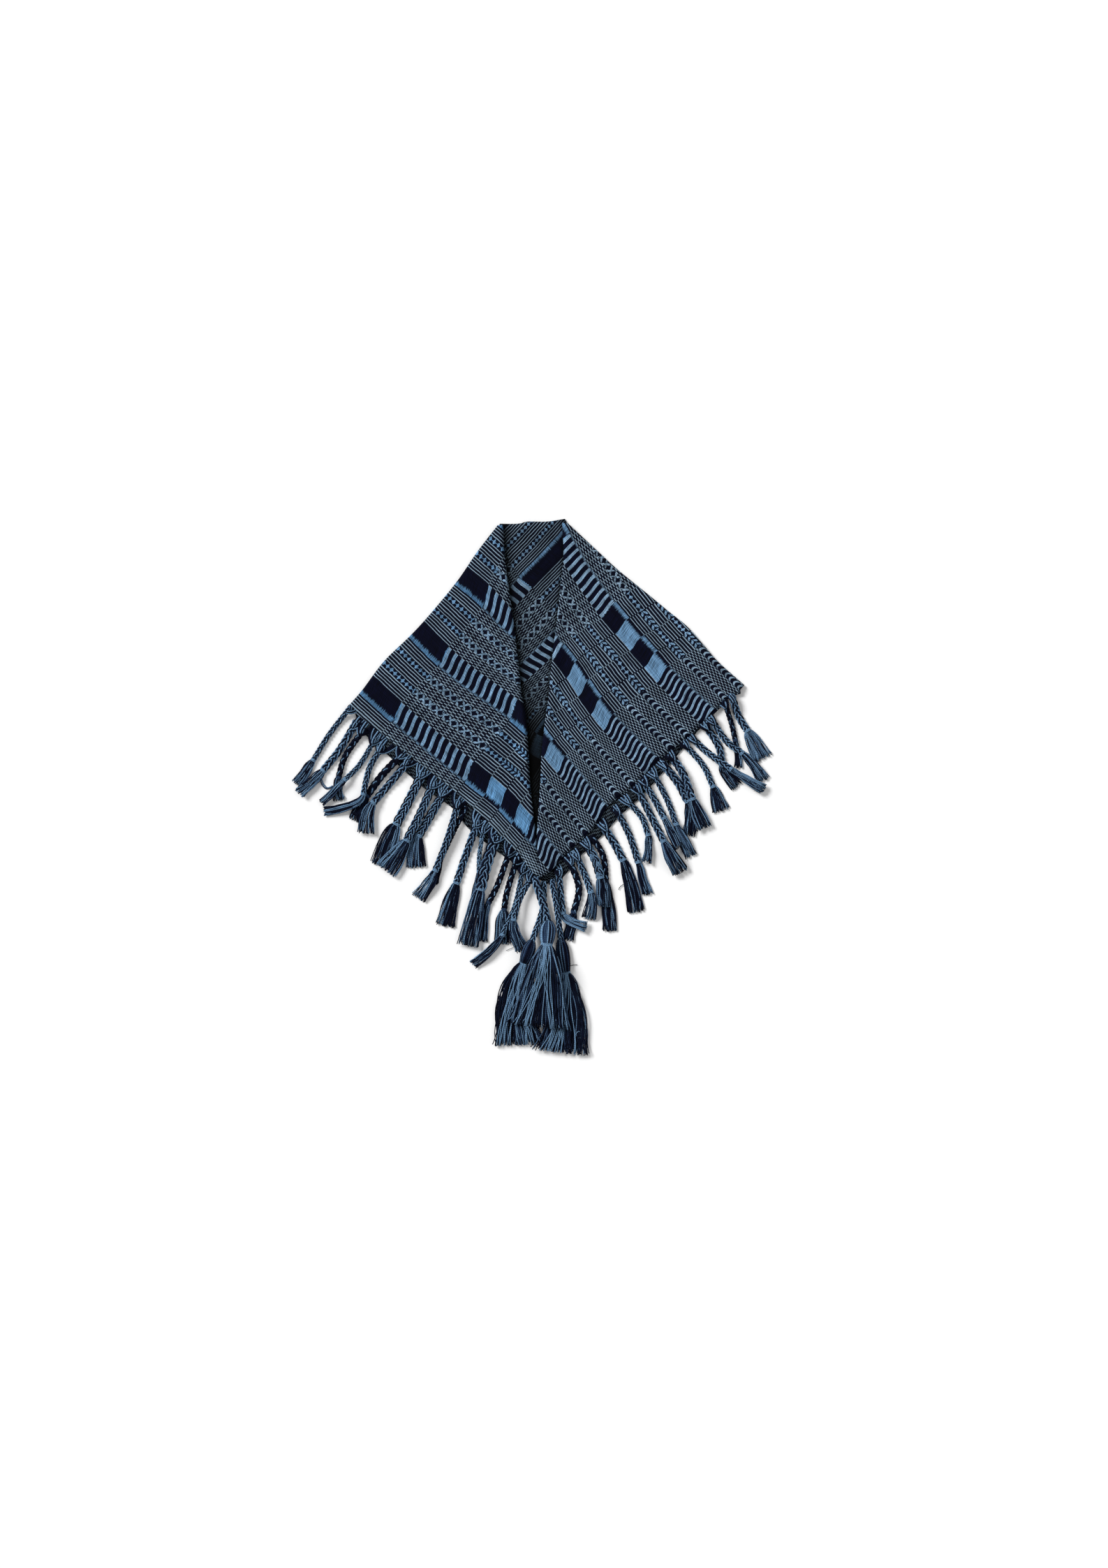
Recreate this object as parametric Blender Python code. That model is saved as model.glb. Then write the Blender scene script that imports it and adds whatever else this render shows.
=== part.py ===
"""Square hand-woven scarf with a braided fringe, folded on the diagonal into a triangle,
both wings then folded forward so that their corners meet, and laid flat.

Shapes are drawn in layout millimetres: x to the right, y towards the fringe, z up from the
floor. The part's own frame is in metres with +Z up, +Y towards the top fold and its origin
on the floor under the middle of the layout."""
import math

import bmesh
import bpy
import numpy as np

# Driving sizes, in millimetres
LAYER = 1.8             # one layer of cloth, floats and all
STACK = 2 * LAYER       # two layers that lie on each other
GAP = 0.3               # clear space between pieces that touch
LAY_GAP = 0.35          # clear space under a strand that lies on something
FLOOR_GAP = 0.5         # strands end just above the floor
FOLD_RADIUS = 4.0       # how far in the rounded outer folds reach
LIP_WIDTH = 5.2         # the outer fold closes round the back layers over this width
INNER_ROUND = 5.0       # how far in the rounded inner folds reach
BACK_INSET = 8.0        # how far the back layers stay inside the outer folds
HEM_STEP = 2.4          # the lower layer's hem stands out this far past the upper one
TOP_ROLL = 5.0          # height of the soft roll along the top fold
BRAID_DEPTH = 5.2       # thickness of a braid as it lies
TASSEL_DEPTH = 4.4      # thickness of a tassel as it lies
LAY_SLOPE = 0.5         # steepest a strand falls from what it lies on

LAYOUT_CENTRE = (761.69, 1126.86)
TABLE_CORNER = (370.0, 700.0)       # corner of the laying-out table
TABLE_CELL = 0.5                    # its cells
TABLE_SHAPE = (1560, 1720)

# Outlines, from the top fold towards the fringe
LEFT_OUTER = [(713, 752), (683, 791), (655, 832), (619, 876), (589, 909), (550, 947),
              (519, 988), (498, 1012)]
LEFT_INNER = [(720.5, 752), (724, 806), (733, 871), (743, 952), (747, 992), (754, 1030),
              (757, 1078), (760, 1129), (765, 1168), (769, 1205), (776, 1254)]
LEFT_HEM = [(498, 1012), (540, 1045), (589, 1084), (649, 1131), (675, 1154), (718, 1197),
            (739, 1218), (764, 1250), (776, 1254)]
RIGHT_OUTER = [(813, 749), (831, 766), (860, 793), (885, 816), (928, 851), (957, 875),
               (984, 897), (1008, 924), (1029, 948), (1066, 981)]
RIGHT_INNER = [(805, 749), (807, 795), (802, 844), (797, 891), (790, 948), (785, 1001),
               (780, 1037), (775.5, 1078), (774, 1117), (770, 1177), (769, 1203), (773, 1256)]
RIGHT_HEM = [(1066, 981), (1063, 992), (1045, 999), (1023, 1021), (985, 1056), (940, 1092),
             (902, 1131), (871, 1154), (852, 1184), (808, 1225), (788, 1248), (773, 1256)]
BACK_TOP = [(716, 750), (742, 750), (756, 747), (783, 747), (809, 743)]
BACK_HEM = [(509, 1023), (521, 1049), (548, 1074), (602, 1124), (648, 1157), (672, 1187),
            (722, 1226), (784, 1266), (806, 1256), (830, 1227), (867, 1192), (888, 1168),
            (916, 1143), (953, 1102), (972, 1079), (1003, 1043), (1042, 1003)]
BACK_APEX = 7           # which of the hem's points is the scarf's corner

# Where sections of a panel run, in millimetres from its edges
OUTER_SECTIONS = (0, 0.7, 2.2, 4.4, 5.7, 6.6, 14)
INNER_SECTIONS = (0, 1.2, 3.4, 7, 12, 20)
TOP_SECTIONS = (0, 2.5, 7)
HEM_SECTIONS = (0, 2.4, 3.4, 12)
BACK_SIDE_SECTIONS = (0, 14)
BACK_TOP_SECTIONS = (0, 2, 6, 12, 24, 44)

# Soft rises of the two wings, as they show: place, direction, length, width, height
LEFT_RISES = [
    dict(x=640, y=935, turn=38, length=90, width=26, height=0.9),
    dict(x=690, y=1050, turn=52, length=120, width=30, height=1.1),
    dict(x=580, y=1010, turn=30, length=70, width=22, height=0.7),
]
RIGHT_RISES = [
    dict(x=880, y=900, turn=-48, length=110, width=28, height=1.0),
    dict(x=930, y=1010, turn=-35, length=90, width=26, height=0.9),
    dict(x=830, y=1090, turn=-60, length=90, width=24, height=0.8),
]
BACK_RISES = [
    dict(x=766, y=800, turn=65, length=60, width=10, height=1.3),
    dict(x=770, y=900, turn=80, length=80, width=24, height=0.6),
]

# Fringe, bottom of the heap first. Each strand is a flat braid from its root over any middle
# points to its knot, and a tassel from there to the middle of its tip.
STRAND_COLUMNS = ("name", "path", "tip", "braid", "spread", "locks")
STRANDS = [
    ("left_01", [(503, 1012), (473, 1050), (449, 1088)], (425, 1123), 8, 18, 4),
    ("left_03", [(523, 1042), (495, 1082), (485, 1113)], (487, 1146), 9, 17, 4),
    ("left_02", [(511, 1033), (487, 1073), (463, 1103)], (428, 1136), 11, 17, 4),
    ("left_06", [(579, 1078), (549, 1108), (526, 1139)], (508, 1175), 11, 18, 4),
    ("left_05", [(549, 1068), (530, 1098), (521, 1137)], (464, 1162), 9, 14, 4),
    ("left_04", [(539, 1056), (516, 1094), (495, 1116)], (461, 1150), 8, 12, 4),
    ("left_07", [(588, 1087), (560, 1120), (535, 1149)], (524, 1193), 11, 26, 5),
    ("left_08", [(607, 1104), (584, 1150), (568, 1180)], (547, 1240), 14, 36, 5),
    ("left_10", [(638, 1131), (614, 1172), (600, 1196)], (596, 1242), 13, 30, 5),
    ("left_09", [(622, 1119), (601, 1168), (583, 1203)], (553, 1247), 13, 30, 5),
    ("left_11_under", [(668, 1155), (650, 1190), (633, 1226)], (622, 1266), 8, 12, 3),
    ("left_11", [(658, 1146), (641, 1202), (624, 1246)], (600, 1287), 10, 22, 4),
    ("left_12", [(686, 1172), (667, 1225), (654, 1264)], (637, 1326), 11, 28, 5),
    ("left_13", [(694, 1182), (687, 1222), (686, 1248)], (676, 1304), 7, 14, 3),
    ("left_15", [(732, 1214), (713, 1266), (700, 1292)], (690, 1348), 9, 16, 4),
    ("left_14", [(711, 1196), (696, 1240), (688, 1273)], (670, 1354), 17, 30, 5),
    ("left_16", [(742, 1226), (727, 1274), (722, 1302)], (722, 1352), 9, 30, 5),
    ("left_18", [(750, 1239), (738, 1296), (720, 1338)], (677, 1381), 8, 14, 4),
    ("left_17", [(763, 1253), (744, 1288), (736, 1316)], (748, 1361), 9, 20, 4),
    ("right_02", [(1036, 1003), (1047, 1034), (1053, 1060)], (1058, 1099), 8, 11, 3),
    ("right_01", [(1047, 995), (1057, 1024), (1070, 1046)], (1092, 1087), 11, 28, 5),
    ("right_04", [(1008, 1036), (1029, 1068), (1034, 1095)], (1055, 1127), 11, 18, 4),
    ("right_03", [(1017, 1028), (1039, 1060), (1062, 1078)], (1094, 1118), 10, 18, 4),
    ("right_06", [(979, 1064), (1007, 1096), (1021, 1126)], (1033, 1161), 9, 24, 4),
    ("right_05", [(989, 1055), (1014, 1078), (1046, 1101)], (1094, 1131), 10, 14, 4),
    ("right_08", [(947, 1092), (969, 1118), (985, 1147)], (986, 1196), 12, 20, 4),
    ("right_07", [(959, 1080), (977, 1106), (991, 1144)], (1008, 1186), 12, 24, 4),
    ("right_09", [(933, 1103), (955, 1144), (968, 1180)], (990, 1226), 9, 19, 4),
    ("right_10", [(920, 1116), (939, 1148), (951, 1171)], (972, 1214), 10, 14, 3),
    ("right_11", [(911, 1126), (931, 1166), (950, 1204)], (974, 1250), 11, 23, 4),
    ("right_13", [(882, 1158), (901, 1195), (914, 1234)], (927, 1281), 10, 14, 4),
    ("right_12", [(895, 1143), (919, 1170), (928, 1195)], (926, 1235), 9, 15, 4),
    ("right_14", [(862, 1180), (880, 1208), (892, 1231)], (911, 1306), 12, 24, 5),
    ("right_15_under", [(847, 1196), (864, 1226), (868, 1262)], (874, 1333), 9, 22, 4),
    ("right_15", [(838, 1206), (852, 1230), (860, 1256)], (864, 1298), 13, 22, 5),
    ("right_17", [(814, 1228), (829, 1270), (822, 1306)], (813, 1346), 10, 17, 4),
    ("right_16", [(824, 1221), (838, 1254), (846, 1277)], (843, 1316), 10, 20, 4),
    ("right_18", [(800, 1244), (803, 1280), (806, 1307)], (840, 1327), 10, 15, 4),
]
RING_STEP = 15.0                    # distance between a braid's sections
ROOT_STEP = 4.5                     # its second section, close to the root
SWAY = 0.5                          # a braid's plies bulge to either side in turn

# Corner tassels: neck braid, head, waist, skirt, and how far each settles onto what is under it
TASSEL_COLUMNS = ("name", "path", "waist", "tip", "braid", "head", "spread", "locks", "settle")
CORNER_TASSELS = [
    ("corner_tassel_right", [(790, 1259), (797, 1296), (804, 1350)], (810, 1393), (805, 1507),
     9, 19, 58, 14, 0.75),
    ("corner_tassel_left", [(779, 1262), (777, 1302), (761, 1350)], (750, 1379), (741, 1496),
     9, 18, 60, 14, 0.0),
    ("corner_tassel_middle", [(765, 1256), (776, 1288), (785, 1322)], (783, 1352), (771, 1470),
     12, 23, 76, 16, 0.0),
]
TASSEL_HEAD_DEPTH = 12.0
SKIRT_DEPTH = 8.5

# Colours, roughness and metallic value of the yarn
NAVY = (0.028, 0.036, 0.060)
STEEL_BLUE = (0.20, 0.33, 0.46)
CLOTH_COLOUR = (0.085, 0.125, 0.175)
YARN_ROUGHNESS = 0.9


def clear_scene():
    for item in list(bpy.data.objects):
        bpy.data.objects.remove(item, do_unlink=True)


def yarn_material(name, colour):
    material = bpy.data.materials.new(name)
    material.use_nodes = True
    shader = material.node_tree.nodes["Principled BSDF"]
    shader.inputs["Base Color"].default_value = (*colour, 1.0)
    shader.inputs["Roughness"].default_value = YARN_ROUGHNESS
    shader.inputs["Metallic"].default_value = 0.0
    material.diffuse_color = (*colour, 1.0)
    return material


def to_part(x, y, z):
    """Layout millimetres to the part's metres."""
    return ((x - LAYOUT_CENTRE[0]) / 1000, (LAYOUT_CENTRE[1] - y) / 1000, z / 1000)


def add_object(name, points, faces, colour):
    """One closed body from layout points, with its faces turned outwards."""
    mesh = bpy.data.meshes.new(name)
    mesh.from_pydata([to_part(*p) for p in points], [], faces)
    shape = bmesh.new()
    shape.from_mesh(mesh)
    bmesh.ops.recalc_face_normals(shape, faces=shape.faces)
    if shape.calc_volume(signed=True) < 0:
        bmesh.ops.reverse_faces(shape, faces=shape.faces)
    bmesh.ops.triangulate(shape, faces=shape.faces)
    shape.to_mesh(mesh)
    shape.free()
    mesh.shade_smooth()
    mesh.set_sharp_from_angle(angle=math.radians(50))
    mesh.materials.append(yarn_material(name, colour))
    item = bpy.data.objects.new(name, mesh)
    bpy.context.scene.collection.objects.link(item)
    return item


def smoothstep(low, high, value):
    t = np.clip((value - low) / (high - low), 0, 1)
    return t * t * (3 - 2 * t)


class Curve:
    """A smooth line through a few points, read by the share of its length."""

    def __init__(self, points, corners=()):
        pieces = []
        ends = [0, *corners, len(points) - 1]
        for first, last in zip(ends[:-1], ends[1:]):
            pieces.append(self.through(np.array(points[first:last + 1], float)))
        self.xy = np.vstack([pieces[0]] + [p[1:] for p in pieces[1:]])
        steps = np.hypot(*np.diff(self.xy, axis=0).T)
        self.run = np.concatenate([[0], np.cumsum(steps)])
        self.length = self.run[-1]

    @staticmethod
    def through(points, fine=12):
        """Catmull-Rom curve with its end tangents along the end chords."""
        if len(points) == 2:
            return np.linspace(points[0], points[1], fine + 1)
        padded = np.vstack([2 * points[0] - points[1], points, 2 * points[-1] - points[-2]])
        line = [points[0]]
        for a, b, c, d in zip(padded[:-3], padded[1:-2], padded[2:-1], padded[3:]):
            for t in np.linspace(0, 1, fine + 1)[1:]:
                line.append(0.5 * (2 * b + (c - a) * t + (2 * a - 5 * b + 4 * c - d) * t ** 2
                                   + (3 * b - a - 3 * c + d) * t ** 3))
        return np.array(line)

    def at(self, share):
        where = np.asarray(share) * self.length
        return np.stack([np.interp(where, self.run, self.xy[:, k]) for k in (0, 1)], axis=-1)

    def ahead(self, share):
        """Unit direction of the line."""
        step = self.at(np.minimum(share + 0.01, 1)) - self.at(np.maximum(share - 0.01, 0))
        return step / np.linalg.norm(step, axis=-1, keepdims=True)

    def distance(self, points):
        """Distance of each point from the line."""
        a, b = self.xy[:-1], self.xy[1:]
        along = b - a
        offset = points[:, None, :] - a[None]
        t = np.clip((offset * along).sum(-1) / (along ** 2).sum(-1), 0, 1)
        return np.hypot(*np.moveaxis(offset - t[..., None] * along, -1, 0)).min(axis=1)

    def inset(self, amounts, side):
        """The line moved sideways, by an amount that goes with the share of its length."""
        shares = np.linspace(0, 1, len(amounts))
        ahead = self.ahead(shares)
        normal = np.stack([-ahead[:, 1], ahead[:, 0]], axis=-1) * side
        return self.at(shares) + normal * np.array(amounts)[:, None]


def section_lines(first, last, middle, span, edges):
    """Shares of a span: near sections at each end and even ones between.

    Sections are set square to the edges, which the span may meet at a slant."""
    length = np.hypot(*span)
    slants = [max(abs(edge[0] * span[1] - edge[1] * span[0]) / length, 0.4) for edge in edges]
    first = [d / slants[0] for d in first]
    last = [d / slants[1] for d in last]
    shrink = min(1.0, length / (1.3 * (first[-1] + last[-1])))
    start = [shrink * d / length for d in first]
    end = [1 - shrink * d / length for d in reversed(last)]
    between = np.linspace(start[-1], end[0], middle + 2)[1:-1]
    return np.array([*start, *between, *end])


class Panel:
    """A panel of cloth between four curves, with a grid of plan points."""

    def __init__(self, left, right, top, hem, sides, ends, middle, fold=None):
        self.curves = dict(left=left, right=right, top=top, hem=hem)
        across = [len(sides[0]) + len(sides[1]) + middle[0],
                  len(ends[0]) + len(ends[1]) + middle[1]]
        self.grid = np.zeros((across[1], across[0], 2))
        for j, nominal in enumerate(np.linspace(0, 1, across[0])):
            rows = section_lines(*ends, middle[1], hem.at(nominal) - top.at(nominal),
                                 (top.ahead(nominal), hem.ahead(nominal)))
            for i, t in enumerate(rows):
                span = right.at(t) - left.at(t)
                s = section_lines(*sides, middle[0], span, (left.ahead(t), right.ahead(t)))[j]
                self.grid[i, j] = self.point(s, t)
                if fold == "left" and j < len(sides[0]) - 1:
                    self.grid[i, j] = self.beside(left, t, s * span)
                if fold == "right" and j > across[0] - len(sides[1]):
                    self.grid[i, j] = self.beside(right, t, (s - 1) * span)

    @staticmethod
    def beside(edge, t, offset):
        """A point square to an edge, as far from it as an offset reaches."""
        ahead = edge.ahead(t)
        square = np.array([-ahead[1], ahead[0]])
        return edge.at(t) + square * (offset @ square)

    def point(self, s, t):
        """Coons patch of the four edges."""
        left, right, top, hem = (self.curves[k] for k in ("left", "right", "top", "hem"))
        edges = (1 - s) * left.at(t) + s * right.at(t) + (1 - t) * top.at(s) + t * hem.at(s)
        corners = ((1 - s) * (1 - t) * top.at(0) + s * (1 - t) * top.at(1)
                   + (1 - s) * t * hem.at(0) + s * t * hem.at(1))
        return edges - corners

    def distances(self):
        flat = self.grid.reshape(-1, 2)
        shape = self.grid.shape[:2]
        return {name: c.distance(flat).reshape(shape) for name, c in self.curves.items()}


def slab(name, grid, low, high, colour):
    """Closed body between two heights over one grid of plan points."""
    rows, columns = grid.shape[:2]
    points = [(*grid[i, j], level[i, j]) for level in (low, high)
              for i in range(rows) for j in range(columns)]

    def index(level, i, j):
        return level * rows * columns + i * columns + j

    faces = []
    for i in range(rows - 1):
        for j in range(columns - 1):
            square = [(i, j), (i, j + 1), (i + 1, j + 1), (i + 1, j)]
            faces.append([index(1, *c) for c in square])
            faces.append([index(0, *c) for c in reversed(square)])
    rim = ([(0, j) for j in range(columns)] + [(i, columns - 1) for i in range(1, rows)]
           + [(rows - 1, j) for j in range(columns - 2, -1, -1)]
           + [(i, 0) for i in range(rows - 2, 0, -1)])
    for a, b in zip(rim, rim[1:] + rim[:1]):
        faces.append([index(0, *a), index(0, *b), index(1, *b), index(1, *a)])
    return add_object(name, points, faces, colour)


def rises(table, grid):
    """Height of the soft rises at each plan point."""
    total = np.zeros(grid.shape[:2])
    for row in table:
        turn = math.radians(row["turn"])
        dx, dy = grid[..., 0] - row["x"], grid[..., 1] - row["y"]
        along = dx * math.cos(turn) + dy * math.sin(turn)
        across = dy * math.cos(turn) - dx * math.sin(turn)
        total += row["height"] * np.exp(-(along / row["length"]) ** 2
                                        - (across / row["width"]) ** 2)
    return total


def quarter_round(distance, reach):
    """0 at an edge to 1 at its reach, as the quarter of a circle."""
    inner = 1 - np.clip(distance / reach, 0, 1)
    return np.sqrt(np.clip(1 - inner ** 2, 0, 1))


def hem_steps(distance):
    """Share of the stack's thickness near a hem: the lower layer, then both."""
    return 0.5 + 0.5 * smoothstep(HEM_STEP, HEM_STEP + 1.0, distance)


def wing_heights(panel, outer, inner, roll, rise_table, lift=0.0):
    """Lower and upper surface of a wing, with its outer fold closed down to the floor."""
    near = panel.distances()
    base = STACK + GAP
    full = STACK + roll * np.exp(-((near[inner] - INNER_ROUND) / 9.0) ** 2)
    full = full + rises(rise_table, panel.grid) * smoothstep(6, 26, near[outer])
    shape = np.minimum(quarter_round(near[inner] + 0.6, INNER_ROUND),
                       quarter_round(near["top"] + 0.6, INNER_ROUND))
    shape = np.minimum(shape, hem_steps(near["hem"]))
    high = base + 0.4 + (full - 0.4) * shape + lift
    low = np.full(high.shape, base) + lift
    # The fold: a half round from the floor to the top, open above the back layers
    along_fold = near["top"]
    closed = smoothstep(40, 60, along_fold)
    half = (base + STACK) / 2
    bulge = quarter_round(near[outer], FOLD_RADIUS)
    fold_low = np.where(near[outer] < LIP_WIDTH, half - 0.2 - (half - 0.2) * bulge, low)
    low = low + (fold_low - low) * closed
    fold_high = half + 0.2 + (high - half - 0.2) * bulge
    open_high = base + 0.4 + (high - base - 0.4) * bulge
    high = open_high + (fold_high - open_high) * closed
    return low, np.maximum(high, low + 0.4)


def back_heights(panel, opening):
    """Lower and upper surface of the layers under the wings, rolled along the top fold."""
    near = panel.distances()
    low = np.zeros(panel.grid.shape[:2])
    edge = np.minimum(near["left"], near["right"])
    full = STACK + (TOP_ROLL * np.exp(-((near["top"] - 7.0) / 15.0) ** 2)
                    + rises(BACK_RISES, panel.grid)) * opening
    shape = np.minimum(hem_steps(near["hem"]), quarter_round(edge + 1.0, 3.0))
    shape = np.minimum(shape, quarter_round(near["top"] + 0.8, 5.0))
    return low, 0.5 + (full - 0.5) * shape


class Table:
    """Heights of what already lies on the floor, in small square cells."""

    def __init__(self):
        self.height = np.zeros(TABLE_SHAPE)

    def add(self, item):
        """Note the height of each face of an object."""
        mesh = item.data
        corners = np.array([v.co for v in mesh.vertices]) * 1000
        corners[:, 0] += LAYOUT_CENTRE[0]
        corners[:, 1] = LAYOUT_CENTRE[1] - corners[:, 1]
        for face in mesh.polygons:
            a, b, c = corners[list(face.vertices)]
            reach = max(np.hypot(*(b - a)[:2]), np.hypot(*(c - a)[:2]), np.hypot(*(c - b)[:2]))
            count = int(math.ceil(1.4 * reach / TABLE_CELL)) + 1
            s, t = np.meshgrid(*[np.linspace(0, 1, count + 1)] * 2)
            keep = s + t <= 1.0001
            s, t = s[keep][:, None], t[keep][:, None]
            spots = a + s * (b - a) + t * (c - a)
            cells = np.floor((spots[:, :2] - TABLE_CORNER) / TABLE_CELL).astype(int)
            np.maximum.at(self.height, (cells[:, 0], cells[:, 1]), spots[:, 2])

    def top(self, start, end, half):
        """Highest point under a band between two plan points."""
        start, end = np.array(start, float), np.array(end, float)
        low = ((np.minimum(start, end) - half - 1 - TABLE_CORNER) / TABLE_CELL).astype(int)
        high = ((np.maximum(start, end) + half + 1 - TABLE_CORNER) / TABLE_CELL).astype(int) + 1
        xs, ys = np.meshgrid(np.arange(low[0], high[0]), np.arange(low[1], high[1]),
                             indexing="ij")
        centres = (np.stack([xs, ys], axis=-1) + 0.5) * TABLE_CELL + TABLE_CORNER
        length = np.hypot(*(end - start))
        along = (end - start) / length
        run = (centres - start) @ along
        away = np.abs((centres - start) @ np.array([-along[1], along[0]]))
        slack = 0.8 * TABLE_CELL
        under = (away <= half + slack) & (run >= -slack) & (run <= length + slack)
        return self.height[xs, ys][under].max(initial=0.0)


def lie_heights(table, plan, halves):
    """Underside heights of a strand that lies on the table, falling no steeper than it can."""
    count = len(plan)
    need = np.zeros(count)
    for i in range(count - 1):
        top = table.top(plan[i], plan[i + 1], max(halves[i], halves[i + 1]))
        need[i] = max(need[i], top)
        need[i + 1] = max(need[i + 1], top)
    low = np.where(need > 0, need + LAY_GAP, FLOOR_GAP)
    run = np.concatenate([[0], np.cumsum(np.hypot(*np.diff(plan, axis=0).T))])
    return np.array([(low - LAY_SLOPE * np.abs(run - here)).max() for here in run])


def ring(centre, across, half_width, low, depth, columns):
    """Flat oval section: left, the top row, right, the bottom row."""
    shares = [-1, *np.linspace(-0.72, 0.72, columns), 1]
    middle = low + depth / 2
    points = [(*(centre + across * half_width * shares[0]), middle)]
    for side, row in ((1, shares[1:-1]), (0, None), (-1, shares[-2:0:-1])):
        if side == 0:
            points.append((*(centre + across * half_width * shares[-1]), middle))
            continue
        for share in row:
            lift = side * depth / 2 * (1 - 0.35 * share ** 2)
            points.append((*(centre + across * half_width * share), middle + lift))
    return points


def directions(plan):
    """Sideways directions, one at each plan point."""
    ahead = np.gradient(plan, axis=0)
    ahead /= np.hypot(*ahead.T)[:, None]
    return np.stack([-ahead[:, 1], ahead[:, 0]], axis=-1)


def lock_cells(columns, rows):
    """Corners of each lock's root in a section, as places in its ring and middle line."""
    top = list(range(1, columns + 1))
    right = columns + 1
    bottom = list(range(2 * columns + 1, columns + 1, -1))
    if rows == 1:
        levels = [(top, bottom)]
    else:
        middle = list(range(2 * columns + 2, 3 * columns + 2))
        levels = [(top, middle), (middle, bottom)]
    cells = []
    for upper, lower in levels:
        cells.append([0, upper[0], lower[0]])
        cells += [[upper[k], upper[k + 1], lower[k + 1], lower[k]] for k in range(columns - 1)]
        cells.append([upper[-1], right, lower[-1]])
    return cells


def strand_body(name, rings, skirt_sections, cells, colour):
    """A tube through its rings whose last section parts into locks.

    Each skirt section is a function of a cell that gives the cell's corners there."""
    size = len(rings[0])
    points = [p for one in rings for p in one]
    faces = [list(range(size))]
    for level in range(len(rings) - 1):
        for k in range(size):
            a, b = level * size + k, level * size + (k + 1) % size
            faces.append([a, b, b + size, a + size])
    root_base = (len(rings) - 1) * size
    extra = skirt_sections["middle"]
    middle_base = len(points)
    points += extra
    for number, cell in enumerate(cells):
        previous = [root_base + c if c < size else middle_base + c - size for c in cell]
        for corners in skirt_sections["locks"][number]:
            here = list(range(len(points), len(points) + len(cell)))
            points += corners
            for k in range(len(cell)):
                after = (k + 1) % len(cell)
                faces.append([previous[k], previous[after], here[after], here[k]])
            previous = here
        faces.append(previous)
    return add_object(name, points, faces, colour)


def braid_points(path):
    """Plan points along a braid: one just past its root, then even steps to its knot."""
    curve = Curve(path)
    count = max(3, int(round(curve.length / RING_STEP)) + 1)
    shares = np.linspace(0, 1, count)
    return curve.at(np.insert(shares, 1, ROOT_STEP / curve.length))


def skirt_axis(path, knot, tip, count):
    """The tassel's middle line: it leaves along the braid and bends to its tip."""
    knot, tip = np.array(knot, float), np.array(tip, float)
    leave = path[-1] - path[-2]
    leave = leave / np.hypot(*leave)
    bend = knot + leave * 0.3 * np.hypot(*(tip - knot))
    t = np.linspace(0, 1, count)[:, None]
    return (1 - t) ** 2 * knot + 2 * t * (1 - t) * bend + t ** 2 * tip


def skirt(axis, side, widths, lows, depths, columns, rows, cells):
    """Sections of every lock along the tassel, parted by a slit that widens to the tip."""
    locks = [[] for _ in cells]
    steps = len(axis)
    for step in range(1, steps):
        section = ring(axis[step], side[step], widths[step] / 2, lows[step], depths[step],
                       columns)
        if rows == 2:
            section = section + middle_line(section, columns)
        slit = 0.5 * step / (steps - 1) + 0.15
        for number, cell in enumerate(cells):
            corners = np.array([section[c] for c in cell])
            centre = corners.mean(axis=0)
            reach = np.abs((corners - centre)[:, :2] @ side[step]).max()
            height = np.abs((corners - centre)[:, 2]).max()
            narrow = 1 - slit / max(reach, slit * 1.6)
            flatter = 1 - slit / max(height, slit * 1.6)
            moved = corners - centre
            moved[:, :2] *= narrow
            moved[:, 2] *= flatter
            if step == steps - 1:
                uneven = 1.6 * math.sin(2.4 * number + axis[0][0])
                forward = np.array([side[step][1], -side[step][0]])
                moved[:, :2] += forward * uneven
            locks[number].append([tuple(p) for p in centre + moved])
    return locks


def middle_line(section, columns):
    """Points halfway between the top row and the bottom row of a section."""
    points = []
    for k in range(1, columns + 1):
        above, below = np.array(section[k]), np.array(section[2 * columns + 2 - k])
        points.append(tuple((above + below) / 2))
    return points


def make_strand(table, row):
    """One braid of the fringe with its knot and its tassel."""
    strand = dict(zip(STRAND_COLUMNS, row))
    braid = braid_points(strand["path"])
    wide = strand["braid"] / 2
    columns = strand["locks"] - 1
    cells = lock_cells(columns, 1)
    axis = skirt_axis(braid, strand["path"][-1], strand["tip"], 4)
    shares = np.linspace(0, 1, len(axis))
    spread = 0.85 * strand["braid"] + (strand["spread"] - 0.85 * strand["braid"]) * shares ** 0.8
    plan = np.vstack([braid, axis[1:]])
    halves = [wide, wide] + [wide + SWAY] * (len(braid) - 2) + list(spread[1:] / 2)
    lows = lie_heights(table, plan, halves)
    side = directions(plan)
    rings = []
    for i, centre in enumerate(braid):
        sway = SWAY * (-1) ** i if 1 < i < len(braid) - 1 else 0
        squeeze = 0.82 if i == len(braid) - 1 else 1.0
        rings.append(ring(centre + side[i] * sway, side[i], wide * squeeze, lows[i],
                          BRAID_DEPTH, columns))
    first = len(braid) - 1
    depths = [TASSEL_DEPTH] * len(axis)
    locks = skirt(axis, side[first:], spread, lows[first:], depths, columns, 1, cells)
    colour = STEEL_BLUE if strand["spread"] > 16 else NAVY
    item = strand_body(strand["name"], rings, dict(middle=[], locks=locks), cells, colour)
    table.add(item)
    return item


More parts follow.
